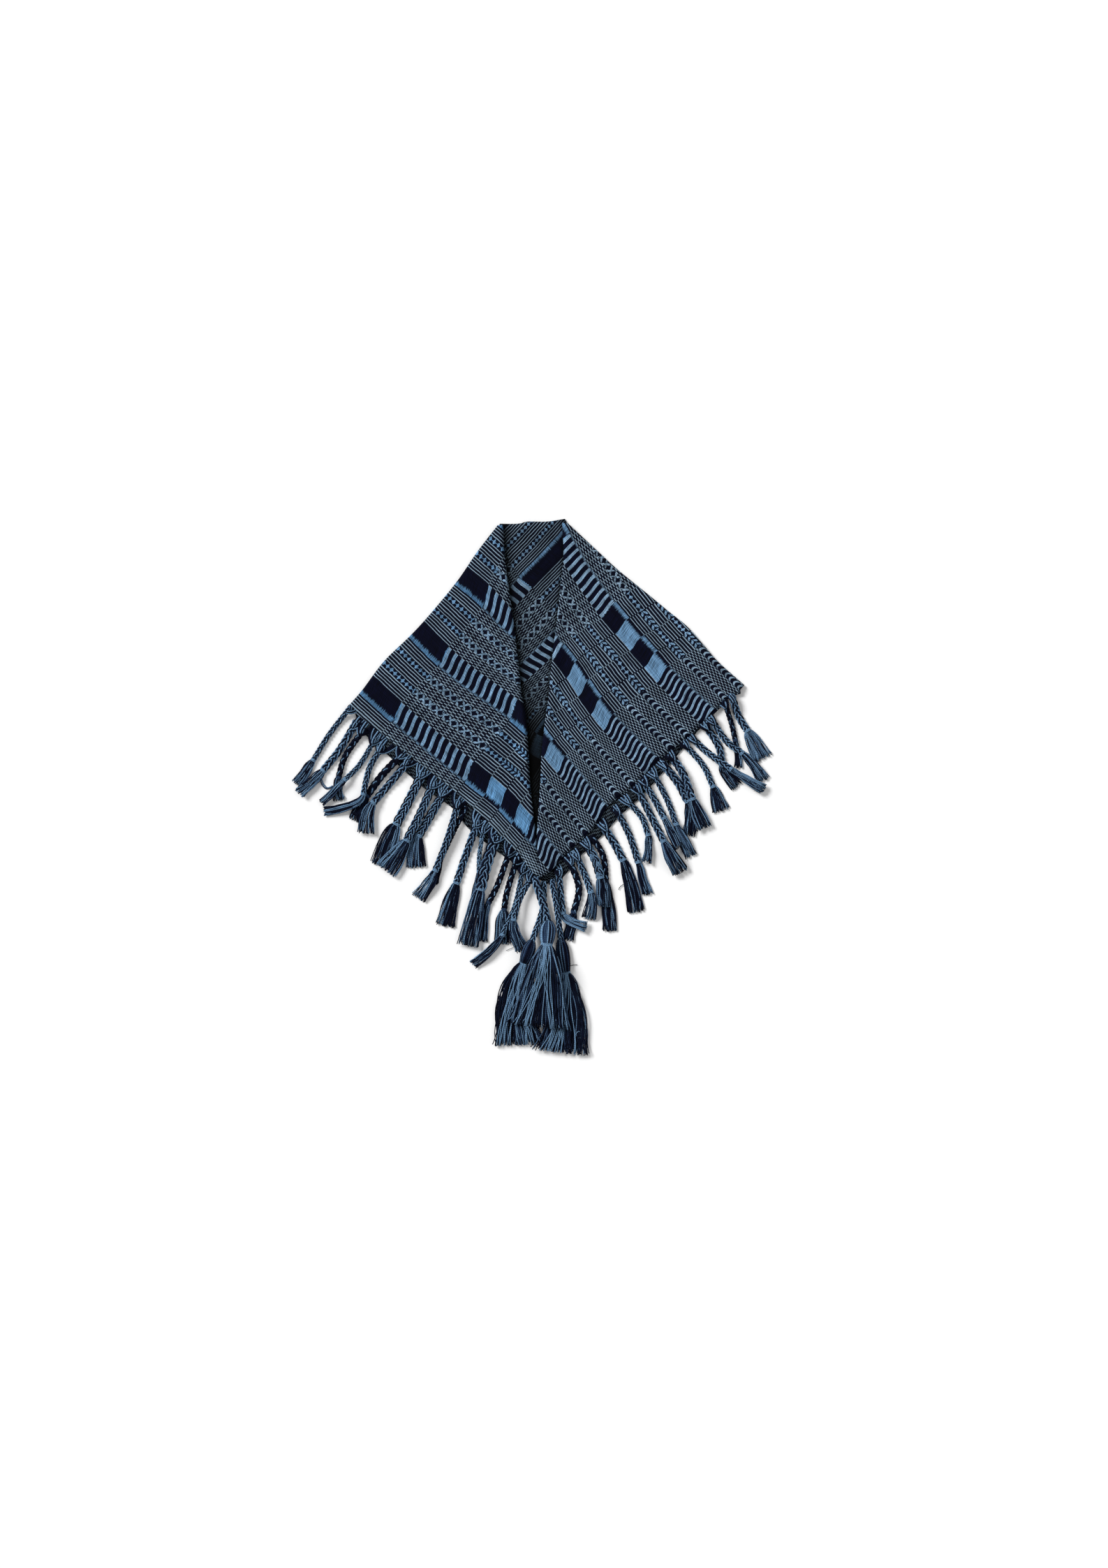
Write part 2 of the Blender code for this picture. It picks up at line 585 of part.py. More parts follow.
def make_corner_tassel(table, row):
    """A corner tassel: neck braid, bound head and a full skirt in two rows of locks."""
    tassel = dict(zip(TASSEL_COLUMNS, row))
    neck = braid_points(tassel["path"])
    waist, knot = np.array(tassel["waist"], float), neck[-1]
    head = [knot + (waist - knot) * share for share in (0.3, 0.7, 1.0)]
    head_widths = [0.92 * tassel["head"], tassel["head"], 0.66 * tassel["head"]]
    head_depths = [0.8 * TASSEL_HEAD_DEPTH, TASSEL_HEAD_DEPTH, 0.62 * TASSEL_HEAD_DEPTH]
    columns = tassel["locks"] // 2 - 1
    cells = lock_cells(columns, 2)
    axis = skirt_axis([knot, waist], waist, tassel["tip"], 6)
    shares = np.linspace(0, 1, len(axis))
    spread = head_widths[-1] + (tassel["spread"] - head_widths[-1]) * shares ** 0.72
    depths = head_depths[-1] + (SKIRT_DEPTH - head_depths[-1]) * shares
    plan = np.vstack([neck, head, axis[1:]])
    halves = ([tassel["braid"] / 2 + SWAY] * len(neck) + [w / 2 for w in head_widths]
              + list(spread[1:] / 2))
    lows = np.maximum(lie_heights(table, plan, halves) - tassel["settle"], FLOOR_GAP)
    side = directions(plan)
    rings = []
    for i, centre in enumerate(neck):
        sway = SWAY * (-1) ** i if 1 < i < len(neck) - 1 else 0
        rings.append(ring(centre + side[i] * sway, side[i], tassel["braid"] / 2, lows[i],
                          BRAID_DEPTH, columns))
    for k, centre in enumerate(head):
        i = len(neck) + k
        rings.append(ring(centre, side[i], head_widths[k] / 2, lows[i], head_depths[k],
                          columns))
    first = len(neck) + len(head) - 1
    locks = skirt(axis, side[first:], spread, lows[first:], depths, columns, 2, cells)
    sections = dict(middle=middle_line(rings[-1], columns), locks=locks)
    item = strand_body(tassel["name"], rings, sections, cells, STEEL_BLUE)
    table.add(item)
    return item


def make_left_wing(table):
    panel = Panel(Curve(LEFT_OUTER), Curve(LEFT_INNER), Curve([LEFT_OUTER[0], LEFT_INNER[0]]),
                  Curve(LEFT_HEM), (OUTER_SECTIONS, INNER_SECTIONS),
                  (TOP_SECTIONS, HEM_SECTIONS), (4, 9), fold="left")
    # The inner fold lies flat where the other wing covers its corner
    roll = 4.2 * (1 - smoothstep(1085, 1165, panel.grid[..., 1]))
    low, high = wing_heights(panel, "left", "right", roll, LEFT_RISES)
    table.add(slab("left_wing", panel.grid, low, high, CLOTH_COLOUR))


def make_right_wing(table):
    panel = Panel(Curve(RIGHT_INNER), Curve(RIGHT_OUTER),
                  Curve([RIGHT_INNER[0], RIGHT_OUTER[0]]), Curve(list(reversed(RIGHT_HEM))),
                  (INNER_SECTIONS, OUTER_SECTIONS), (TOP_SECTIONS, HEM_SECTIONS), (4, 9),
                  fold="right")
    near = panel.curves["left"].distance(panel.grid.reshape(-1, 2)).reshape(
        panel.grid.shape[:2])
    # The wing climbs onto the other one's corner at the bottom of the opening
    climb = (STACK + 0.8) * smoothstep(1120, 1170, panel.grid[..., 1])
    lift = climb * (1 - smoothstep(18, 44, near))
    low, high = wing_heights(panel, "right", "left", 3.2, RIGHT_RISES, lift)
    table.add(slab("right_wing", panel.grid, low, high, CLOTH_COLOUR))


def make_back(table):
    left_fold, right_fold = Curve(LEFT_OUTER), Curve(RIGHT_OUTER)
    shares = np.linspace(0, 1, 14)
    inset = 1.0 + BACK_INSET * smoothstep(0.0, 0.06, shares)
    inset = inset + BACK_INSET * smoothstep(0.9, 1.0, shares)
    left = left_fold.inset(inset, -1)
    right = right_fold.inset(inset, 1)
    left[0], left[-1] = BACK_TOP[0], BACK_HEM[0]
    right[0], right[-1] = BACK_TOP[-1], BACK_HEM[-1]
    panel = Panel(Curve(left), Curve(right), Curve(BACK_TOP),
                  Curve(BACK_HEM, corners=(BACK_APEX,)),
                  (BACK_SIDE_SECTIONS, BACK_SIDE_SECTIONS),
                  (BACK_TOP_SECTIONS, HEM_SECTIONS), (13, 8))
    flat = panel.grid.reshape(-1, 2)
    shape = panel.grid.shape[:2]
    left_edge, right_edge = Curve(LEFT_INNER), Curve(RIGHT_INNER)
    level = flat[:, 1]
    left_x = np.interp(level, left_edge.xy[:, 1], left_edge.xy[:, 0])
    right_x = np.interp(level, right_edge.xy[:, 1], right_edge.xy[:, 0])
    room = np.minimum(flat[:, 0] - left_x, right_x - flat[:, 0]).reshape(shape)
    low, high = back_heights(panel, smoothstep(8, 26, room))
    table.add(slab("back_layers", panel.grid, low, high, CLOTH_COLOUR))


def main():
    clear_scene()
    table = Table()
    make_back(table)
    make_left_wing(table)
    make_right_wing(table)
    for row in STRANDS:
        make_strand(table, row)
    for row in CORNER_TASSELS:
        make_corner_tassel(table, row)


main()
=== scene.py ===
"""Looks of the folded fringed scarf: woven cloth, braids, tassels, floor, light and camera.

Places are layout millimetres, as in the part: x to the right, y towards the fringe, z up."""
import math

import bpy
import numpy as np
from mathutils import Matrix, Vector
from mathutils.bvhtree import BVHTree


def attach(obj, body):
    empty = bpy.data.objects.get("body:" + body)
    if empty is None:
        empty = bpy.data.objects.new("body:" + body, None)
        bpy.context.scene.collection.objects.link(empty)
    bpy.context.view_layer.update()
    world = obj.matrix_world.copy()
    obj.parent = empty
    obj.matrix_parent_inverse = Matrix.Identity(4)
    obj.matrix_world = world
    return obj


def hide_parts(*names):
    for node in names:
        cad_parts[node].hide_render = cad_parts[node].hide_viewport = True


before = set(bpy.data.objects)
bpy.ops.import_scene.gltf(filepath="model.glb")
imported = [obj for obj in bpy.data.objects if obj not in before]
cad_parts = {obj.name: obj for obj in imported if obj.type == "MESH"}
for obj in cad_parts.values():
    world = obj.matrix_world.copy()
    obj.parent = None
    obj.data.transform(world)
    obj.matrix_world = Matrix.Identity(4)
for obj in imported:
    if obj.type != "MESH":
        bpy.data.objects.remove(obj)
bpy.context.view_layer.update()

# Sizes of the part, in millimetres
LAYOUT_CENTRE = (761.69, 1126.86)
STACK = 3.6  # two layers of cloth that lie on each other
GAP = 0.3  # clear space between the cloth pieces
FOLD_RADIUS = 4.0  # how far in the rounded outer folds reach
LIP_WIDTH = 5.2  # the outer fold closes round the back layers over this width
INNER_ROUND = 5.0  # how far in the rounded inner folds reach
BACK_INSET = 8.0  # how far the back layers stay inside the outer folds
HEM_STEP = 2.4  # the lower layer's hem stands out this far past the upper one
TOP_ROLL = 5.0  # height of the soft roll along the top fold
WING_ROLLS = dict(left=4.2, right=3.2)  # heights of the rolls at the wings' inner edges

# Outlines, from the top fold towards the fringe
LEFT_OUTER = [(713, 752), (683, 791), (655, 832), (619, 876), (589, 909), (550, 947),
              (519, 988), (498, 1012)]
LEFT_INNER = [(720.5, 752), (724, 806), (733, 871), (743, 952), (747, 992), (754, 1030),
              (757, 1078), (760, 1129), (765, 1168), (769, 1205), (776, 1254)]
LEFT_HEM = [(498, 1012), (540, 1045), (589, 1084), (649, 1131), (675, 1154), (718, 1197),
            (739, 1218), (764, 1250), (776, 1254)]
RIGHT_OUTER = [(813, 749), (831, 766), (860, 793), (885, 816), (928, 851), (957, 875),
               (984, 897), (1008, 924), (1029, 948), (1066, 981)]
RIGHT_INNER = [(805, 749), (807, 795), (802, 844), (797, 891), (790, 948), (785, 1001),
               (780, 1037), (775.5, 1078), (774, 1117), (770, 1177), (769, 1203), (773, 1256)]
RIGHT_HEM = [(1066, 981), (1063, 992), (1045, 999), (1023, 1021), (985, 1056), (940, 1092),
             (902, 1131), (871, 1154), (852, 1184), (808, 1225), (788, 1248), (773, 1256)]
BACK_TOP = [(716, 750), (742, 750), (756, 747), (783, 747), (809, 743)]
BACK_HEM = [(509, 1023), (521, 1049), (548, 1074), (602, 1124), (648, 1157), (672, 1187),
            (722, 1226), (784, 1266), (806, 1256), (830, 1227), (867, 1192), (888, 1168),
            (916, 1143), (953, 1102), (972, 1079), (1003, 1043), (1042, 1003)]
BACK_APEX = 7

# Soft rises of the cloth, as in the part: x, y, turn in degrees, length, width and height
LEFT_RISES = [(640, 935, 38, 90, 26, 0.9), (690, 1050, 52, 120, 30, 1.1),
              (580, 1010, 30, 70, 22, 0.7)]
RIGHT_RISES = [(880, 900, -48, 110, 28, 1.0), (930, 1010, -35, 90, 26, 0.9),
               (830, 1090, -60, 90, 24, 0.8)]
BACK_RISES = [(766, 800, 65, 60, 10, 1.3), (770, 900, 80, 80, 24, 0.6)]

# Where the fine sections of the cloth run, in millimetres from its edges
OUTER_SECTIONS = (0, 0.35, 0.7, 1.3, 2.2, 3.2, 4.4, 5.7, 6.6, 9, 14)
INNER_SECTIONS = (0, 0.5, 1.2, 2.2, 3.4, 5, 7, 9.5, 12, 16, 20)
TOP_SECTIONS = (0, 1.2, 2.5, 4.5, 7)
HEM_SECTIONS = (0, 1.2, 2.4, 2.9, 3.4, 7, 12)
BACK_SIDE_SECTIONS = (0, 2, 14)
BACK_TOP_SECTIONS = (0, 1, 2, 4, 6, 9, 12, 18, 24, 34, 44)

# The weave, in millimetres of cloth. Columns run along u: start, end, number of stripes.
COLUMNS = [(0, 89, 20), (89, 117, 1), (117, 146, 1), (146, 175, 1), (175, 205, 1),
           (205, 334, 21), (334, 445, 1), (445, 574, 21), (574, 604, 1), (604, 633, 1),
           (633, 662, 1), (662, 690, 1), (690, 779, 20)]
BAND_START = 45.0  # middle of the first float band
BAND_STEP = 99.0  # from one float band to the next
CORE = 10.0  # half width of a float band's even part
CORE_END = 13.0  # where its plain side ends
COMB_END = 16.3  # where its comb of short floats ends, on the other side
BEAD_PLACE = 36.3  # middle of a bead row, from the band's middle
BEAD_HALF = 4.6  # half width of a bead row
BEAD_REACH = 6.5  # light lines are thicker this near to a bead row's middle
DIAMOND = 3.65  # half length of a diamond in a bead row
ARROW = 7.0  # length of an arrow head in a bead row
LINE_START = 19.3  # middle of the first line, from the band's middle
LINE_PITCH = 3.95  # from one light line to the next
OUTER_PITCH = 4.25  # the same beyond the bead row
BORDER = 0.55  # half width of the seam between two columns
HOOKED = 5.0  # stripes narrower than this have hooks, and the others crosses
NARROW = 5.5  # narrower columns have no seam
WIDE = 20.0  # wider columns are blocks, and narrower ones stripes
THREAD_PITCH = 1.45  # threads across the lines
SLANT_REACH = 13.0  # floats lean over this half width
PLATE_SOFTNESS = 40.0  # how freely the weave runs past the known points

# Where points of the weave show: x, y, u, v
LEFT_WEAVE = [
    (524, 978, 384, 45), (570, 1020, 445, 45), (672, 1104, 574, 45), (699, 1126, 604, 45),
    (720.5, 1144, 633, 45), (739, 1164, 662, 45), (759, 1185, 690, 45),
    (596, 899, 389, 144), (636.5, 940, 445, 144), (735.5, 1014, 574, 144),
    (660, 823, 399, 243), (697, 853, 445, 243), (728, 888, 488, 243),
    (712, 819, 445, 279), (718, 785, 437, 306),
    (721.4, 1091.7, 604, 81), (741.8, 1109.4, 633, 81), (740.5, 1069.8, 604, 108),
    (677.6, 1154.3, 604, 9.5), (703.5, 1170.2, 633, 13),
]
RIGHT_WEAVE = [
    (1014, 1027, 0, 342), (949, 966, 89, 342), (931, 944, 117, 342), (910.5, 921.5, 146, 342),
    (890, 897, 175, 342), (870.5, 874.5, 205, 342), (848.8, 845.2, 244.9, 342),
    (828.4, 816.5, 281.8, 342), (812.3, 787, 318.6, 342),
    (931, 1096, 0, 243), (871.5, 1035, 89, 243), (853, 1011, 117, 243),
    (835.5, 986, 146, 243), (818.5, 958.5, 175, 243), (799, 934, 205, 243),
    (859, 1163, 0, 144), (804.5, 1095, 89, 144), (784.5, 1071.5, 117, 144),
    (797, 1238, 0, 45), (860, 918, 175, 306), (882, 942, 146, 306), (841, 935, 175, 279),
    (860, 962, 146, 279), (899, 850, 205, 378), (941, 902, 146, 378), (1045, 999, 0, 384),
]
INNER_WEAVE = [
    (752, 835.5, 334, 342), (803, 783, 408, 342), (783, 849, 344, 306), (728, 817, 326, 378),
    (760, 784, 372, 378), (727, 782, 350, 405), (754, 754, 390, 405),
    (770, 945, 270, 243), (745, 967, 236, 243), (790, 925, 299, 243),
    (766, 1083, 146, 144), (778, 1054, 176, 144),
]

# Fringe: name, path, tip, braid width, tassel spread, and the share of light yarn
STRANDS = [
    ("left_01", [(503, 1012), (473, 1050), (449, 1088)], (425, 1123), 8, 18, 0.50),
    ("left_03", [(523, 1042), (495, 1082), (485, 1113)], (487, 1146), 9, 17, 0.25),
    ("left_02", [(511, 1033), (487, 1073), (463, 1103)], (428, 1136), 11, 17, 0.60),
    ("left_06", [(579, 1078), (549, 1108), (526, 1139)], (508, 1175), 11, 18, 0.25),
    ("left_05", [(549, 1068), (530, 1098), (521, 1137)], (464, 1162), 9, 14, 0.50),
    ("left_04", [(539, 1056), (516, 1094), (495, 1116)], (461, 1150), 8, 12, 0.50),
    ("left_07", [(588, 1087), (560, 1120), (535, 1149)], (524, 1193), 11, 26, 0.50),
    ("left_08", [(607, 1104), (584, 1150), (568, 1180)], (547, 1240), 14, 36, 0.45),
    ("left_10", [(638, 1131), (614, 1172), (600, 1196)], (596, 1242), 13, 30, 0.40),
    ("left_09", [(622, 1119), (601, 1168), (583, 1203)], (553, 1247), 13, 30, 0.50),
    ("left_11_under", [(668, 1155), (650, 1190), (633, 1226)], (622, 1266), 8, 12, 0.15),
    ("left_11", [(658, 1146), (641, 1202), (624, 1246)], (600, 1287), 10, 22, 0.40),
    ("left_12", [(686, 1172), (667, 1225), (654, 1264)], (637, 1326), 11, 28, 0.35),
    ("left_13", [(694, 1182), (687, 1222), (686, 1248)], (676, 1304), 7, 14, 0.60),
    ("left_15", [(732, 1214), (713, 1266), (700, 1292)], (690, 1348), 9, 16, 0.20),
    ("left_14", [(711, 1196), (696, 1240), (688, 1273)], (670, 1354), 17, 30, 0.55),
    ("left_16", [(742, 1226), (727, 1274), (722, 1302)], (722, 1352), 9, 30, 0.12),
    ("left_18", [(750, 1239), (738, 1296), (720, 1338)], (677, 1381), 8, 14, 0.50),
    ("left_17", [(763, 1253), (744, 1288), (736, 1316)], (748, 1361), 9, 20, 0.40),
    ("right_02", [(1036, 1003), (1047, 1034), (1053, 1060)], (1058, 1099), 8, 11, 0.20),
    ("right_01", [(1047, 995), (1057, 1024), (1070, 1046)], (1092, 1087), 11, 28, 0.60),
    ("right_04", [(1008, 1036), (1029, 1068), (1034, 1095)], (1055, 1127), 11, 18, 0.45),
    ("right_03", [(1017, 1028), (1039, 1060), (1062, 1078)], (1094, 1118), 10, 18, 0.55),
    ("right_06", [(979, 1064), (1007, 1096), (1021, 1126)], (1033, 1161), 9, 24, 0.40),
    ("right_05", [(989, 1055), (1014, 1078), (1046, 1101)], (1094, 1131), 10, 14, 0.50),
    ("right_08", [(947, 1092), (969, 1118), (985, 1147)], (986, 1196), 12, 20, 0.50),
    ("right_07", [(959, 1080), (977, 1106), (991, 1144)], (1008, 1186), 12, 24, 0.45),
    ("right_09", [(933, 1103), (955, 1144), (968, 1180)], (990, 1226), 9, 19, 0.50),
    ("right_10", [(920, 1116), (939, 1148), (951, 1171)], (972, 1214), 10, 14, 0.35),
    ("right_11", [(911, 1126), (931, 1166), (950, 1204)], (974, 1250), 11, 23, 0.50),
    ("right_13", [(882, 1158), (901, 1195), (914, 1234)], (927, 1281), 10, 14, 0.35),
    ("right_12", [(895, 1143), (919, 1170), (928, 1195)], (926, 1235), 9, 15, 0.40),
    ("right_14", [(862, 1180), (880, 1208), (892, 1231)], (911, 1306), 12, 24, 0.40),
    ("right_15_under", [(847, 1196), (864, 1226), (868, 1262)], (874, 1333), 9, 22, 0.20),
    ("right_15", [(838, 1206), (852, 1230), (860, 1256)], (864, 1298), 13, 22, 0.60),
    ("right_17", [(814, 1228), (829, 1270), (822, 1306)], (813, 1346), 10, 17, 0.15),
    ("right_16", [(824, 1221), (838, 1254), (846, 1277)], (843, 1316), 10, 20, 0.50),
    ("right_18", [(800, 1244), (803, 1280), (806, 1307)], (840, 1327), 10, 15, 0.55),
]
CORNER_TASSELS = [
    ("corner_tassel_right", [(790, 1259), (797, 1296), (804, 1350)], (810, 1393), (805, 1507),
     9, 19, 71, 0.16),
    ("corner_tassel_left", [(779, 1262), (777, 1302), (761, 1350)], (750, 1379), (741, 1496),
     9, 18, 74, 0.23),
    ("corner_tassel_middle", [(765, 1256), (776, 1288), (785, 1322)], (783, 1352), (771, 1470),
     12, 23, 78, 0.26),
]

# Stray threads: piece, radius, tone and the points that each passes
STRAYS = [
    ("left_02", 0.9, 0.7, [(460, 1112), (463, 1122), (469, 1128), (477, 1125)]),
    ("left_02", 0.8, 0.3, [(459, 1115), (461, 1123), (467, 1129), (477, 1127)]),
    ("left_10", 0.3, 0.5, [(591, 1222), (585, 1221), (582, 1225), (584, 1230)]),
    ("left_17", 0.35, 0.0, [(742, 1353), (734, 1357), (725, 1361)]),
    ("right_14", 0.45, 0.1, [(893, 1266), (888, 1270), (886, 1274)]),
    ("right_15", 0.45, 0.2, [(870, 1263), (874, 1268), (876, 1280), (874, 1288)]),
    ("corner_tassel_right", 0.4, 0.0, [(813, 1383), (820, 1382), (827, 1381)]),
    ("corner_tassel_right", 0.45, 1.0, [(834, 1480), (829, 1476), (825, 1480), (827, 1485),
                                        (832, 1485), (833, 1479)]),
    ("corner_tassel_middle", 0.45, 1.0, [(796, 1459), (802, 1471), (809, 1478)]),
]

# Where light yarn gathers in the middle tassel, from its right
LIT = dict(corner_tassel_middle=(-0.05, -0.3, -0.3, -0.2, 0.1, 0.35))

# Bundles of warp ends at the root of a braid: places along the hem, and how far under it
ROOT_OFFSETS = dict(left=(-13, -2, 10), right=(-5, 4))
ROOT_DEPTH = dict(left=11, right=5)
ROOT_STEPS = 12  # points along a bundle

# Braids and tassels, in millimetres
CURVE_STEPS = 12  # steps between two points of a curve
TUBE_SIDES = 4  # sides of a yarn's tube
YARN_FLOOR = 0.1  # yarns stay this far above the floor
SECTION_STEP = 1.9  # between a braid's sections
BRAID_PERIOD = 2.15  # a full plait, in widths of its braid
WIDE_BRAID = 12  # wider braids have four yarns in a ply, the others three
NARROW_NECK = 0.72  # a small tassel's neck, in widths of its braid
SKIRT_YARN = 0.72  # radius of the yarns of a skirt
LOOSE_YARN = 0.5  # radius of the light yarns that wander over it
LOOSE_YARNS = 14  # how many of them
ROOT_YARN = 1.2  # radius of the yarns of a root
HEAD_YARN = 1.25  # radius of the yarns of a corner tassel's head
HEAD_YARNS = 26  # round its head
HEAD_SWELL = (0.45, 0.75, 0.95, 1.0, 1.0, 0.97, 0.9, 0.78, 0.62)  # from braid to waist
WAIST = 0.66  # a corner tassel's waist, in widths of its head
SKIRT_LAYERS = (60, 70, 70)  # yarns in its skirt's layers, from the lowest
SKIRT_LOCKS = 7  # locks that a skirt parts into
WRAP_TURNS = 3  # turns of thread round a neck
SMALL_WAVE = 0.6  # how strongly the small tassels' locks sway
LARGE_WAVE = 2.3  # the same for the corner tassels
STRAND_SEED = 100  # the small tassels' seeds start here
CORNER_SEED = 300  # and the corner tassels' here

# Yarn colours
NAVY = (0.0011, 0.0016, 0.0078, 1)
LINE_BLUE = (0.190, 0.268, 0.340, 1)
FLOAT_BLUE = (0.074, 0.178, 0.320, 1)
INDIGO = (0.012, 0.027, 0.068, 1)
YARN_BLUE = (0.130, 0.232, 0.360, 1)

# Fixed values of the cotton and of the floor
COTTON = {"Sheen Weight": 0.03, "Sheen Roughness": 0.4, "Sheen Tint": (0.35, 0.45, 0.6, 1),
          "Specular IOR Level": 0.06}
FLOOR = {"Base Color": (0.86, 0.86, 0.86, 1), "Roughness": 0.9, "Specular IOR Level": 0.1}
FLOOR_REACH = 8.0  # metres to each side

# Lights: the way that each sun shines, its width in degrees and its strength
SUNS = dict(key=((0.62, -0.50, -0.60), 24, 3.7), fill=((-0.5, -0.3, -0.9), 60, 0.35))
SKY = 0.42  # strength of the even white light

# The picture: its size in photo pixels, and the lens
PICTURE = (1587, 2245)
LENS = 85
SENSOR = 36
FAR = 50  # metres to the end of the camera's view


def to_part(points):
    """Layout millimetres to the part's metres."""
    points = np.asarray(points, float)
    return np.stack([points[..., 0] - LAYOUT_CENTRE[0], LAYOUT_CENTRE[1] - points[..., 1],
                     points[..., 2]], axis=-1) / 1000


def smoothstep(low, high, value):
    """0 below a low value to 1 above a high one."""
    t = np.clip((value - low) / (high - low), 0, 1)
    return t * t * (3 - 2 * t)


def unit(vectors):
    """Vectors of length one, pointing the same way."""
    return vectors / np.maximum(np.linalg.norm(vectors, axis=-1, keepdims=True), 1e-9)


def sideways(ahead):
    """Plan directions square to others."""
    return np.stack([-ahead[..., 1], ahead[..., 0]], axis=-1)


def run_along(points):
    """Distance along a line, at each of its points."""
    return np.concatenate([[0], np.cumsum(np.linalg.norm(np.diff(points, axis=0), axis=1))])


def bow(start, bend, end, count):
    """A line of points that leaves its start towards a bend and comes to its end."""
    t = np.linspace(0, 1, count)[:, None]
    return (1 - t) ** 2 * start + 2 * t * (1 - t) * bend + t ** 2 * end


class Curve:
    """A smooth line through a few points, read by the share of its length."""

    def __init__(self, points, corners=()):
        pieces = []
        ends = [0, *corners, len(points) - 1]
        for first, last in zip(ends[:-1], ends[1:]):
            pieces.append(self.through(np.array(points[first:last + 1], float)))
        self.xy = np.vstack([pieces[0]] + [p[1:] for p in pieces[1:]])
        self.run = run_along(self.xy)
        self.length = self.run[-1]

    @staticmethod
    def through(points):
        """Catmull-Rom curve with its end tangents along the end chords."""
        if len(points) == 2:
            return np.linspace(points[0], points[1], CURVE_STEPS + 1)
        padded = np.vstack([2 * points[0] - points[1], points, 2 * points[-1] - points[-2]])
        t = np.linspace(0, 1, CURVE_STEPS + 1)[1:, None]
        parts = [0.5 * (2 * b + (c - a) * t + (2 * a - 5 * b + 4 * c - d) * t ** 2
                        + (3 * b - a - 3 * c + d) * t ** 3)
                 for a, b, c, d in zip(padded[:-3], padded[1:-2], padded[2:-1], padded[3:])]
        return np.vstack([points[:1], *parts])

    def at(self, share):
        """Plan points at some shares of the length."""
        where = np.asarray(share) * self.length
        return np.stack([np.interp(where, self.run, self.xy[:, k]) for k in (0, 1)], axis=-1)

    def ahead(self, share):
        """Unit direction of the line."""
        return unit(self.at(np.minimum(share + 0.01, 1)) - self.at(np.maximum(share - 0.01, 0)))

    def distance(self, points):
        """Distance of each point from the line."""
        a, b = self.xy[:-1], self.xy[1:]
        along = b - a
        offset = points[:, None, :] - a[None]
        t = np.clip((offset * along).sum(-1) / (along ** 2).sum(-1), 0, 1)
        return np.hypot(*np.moveaxis(offset - t[..., None] * along, -1, 0)).min(axis=1)

    def inset(self, amounts, side):
        """The line moved sideways, by an amount that goes with the share of its length."""
        shares = np.linspace(0, 1, len(amounts))
        return self.at(shares) + sideways(self.ahead(shares)) * side * amounts[:, None]


def section_lines(first, last, middle, span, edges):
    """Shares of each span: near sections at each end and even ones between."""
    length = np.hypot(*span.T)
    slants = [np.maximum(np.abs(e[:, 0] * span[:, 1] - e[:, 1] * span[:, 0]) / length, 0.4)
              for e in edges]
    near = np.array(first)[None] / slants[0][:, None]
    far = np.array(last)[None] / slants[1][:, None]
    length = length[:, None]
    shrink = np.minimum(1.0, length / (1.3 * (near[:, -1:] + far[:, -1:])))
    start = shrink * near / length
    end = 1 - shrink * far[:, ::-1] / length
    steps = np.linspace(0, 1, middle + 2)[None, 1:-1]
    between = start[:, -1:] + (end[:, :1] - start[:, -1:]) * steps
    return np.hstack([start, between, end])


class Panel:
    """A panel of cloth between four curves, with a fine grid of plan points."""

    def __init__(self, left, right, top, hem, sides, ends, middle, fold=None):
        self.curves = dict(left=left, right=right, top=top, hem=hem)
        columns = len(sides[0]) + len(sides[1]) + middle[0]
        rows = len(ends[0]) + len(ends[1]) + middle[1]
        self.grid = np.zeros((rows, columns, 2))
        for j, nominal in enumerate(np.linspace(0, 1, columns)):
            here = np.array([nominal])
            t = section_lines(*ends, middle[1], hem.at(here) - top.at(here),
                              (top.ahead(here), hem.ahead(here)))[0]
            span = right.at(t) - left.at(t)
            s = section_lines(*sides, middle[0], span, (left.ahead(t), right.ahead(t)))[:, j]
            self.grid[:, j] = self.point(s, t)
            if fold == "left" and j < len(sides[0]) - 1:
                self.grid[:, j] = self.beside(left, t, s[:, None] * span)
            if fold == "right" and j > columns - len(sides[1]):
                self.grid[:, j] = self.beside(right, t, (s[:, None] - 1) * span)

    @staticmethod
    def beside(edge, t, offset):
        """Points square to an edge, as far from it as their offsets reach."""
        square = sideways(edge.ahead(t))
        return edge.at(t) + square * (offset * square).sum(-1, keepdims=True)

    def point(self, s, t):
        """Coons patch of the four edges."""
        left, right, top, hem = (self.curves[k] for k in ("left", "right", "top", "hem"))
        a, b = s[:, None], t[:, None]
        edges = (1 - a) * left.at(t) + a * right.at(t) + (1 - b) * top.at(s) + b * hem.at(s)
        corners = ((1 - a) * (1 - b) * top.at(0) + a * (1 - b) * top.at(1)
                   + (1 - a) * b * hem.at(0) + a * b * hem.at(1))
        return edges - corners

    def distances(self):
        """Distance of each grid point from each edge."""
        flat = self.grid.reshape(-1, 2)
        shape = self.grid.shape[:2]
        return {name: c.distance(flat).reshape(shape) for name, c in self.curves.items()}


def rises(table, grid):
    """Height of the soft rises at each plan point."""
    total = np.zeros(grid.shape[:2])
    for x, y, degrees, length, width, height in table:
        turn = math.radians(degrees)
        dx, dy = grid[..., 0] - x, grid[..., 1] - y
        along = dx * math.cos(turn) + dy * math.sin(turn)
        across = dy * math.cos(turn) - dx * math.sin(turn)
        total += height * np.exp(-(along / length) ** 2 - (across / width) ** 2)
    return total


def quarter_round(distance, reach):
    """0 at an edge to 1 at its reach, as the quarter of a circle."""
    inner = 1 - np.clip(distance / reach, 0, 1)
    return np.sqrt(np.clip(1 - inner ** 2, 0, 1))


def hem_steps(distance):
    """Share of the stack's thickness near a hem: the lower layer, then both."""
    return 0.5 + 0.5 * smoothstep(HEM_STEP, HEM_STEP + 1.0, distance)


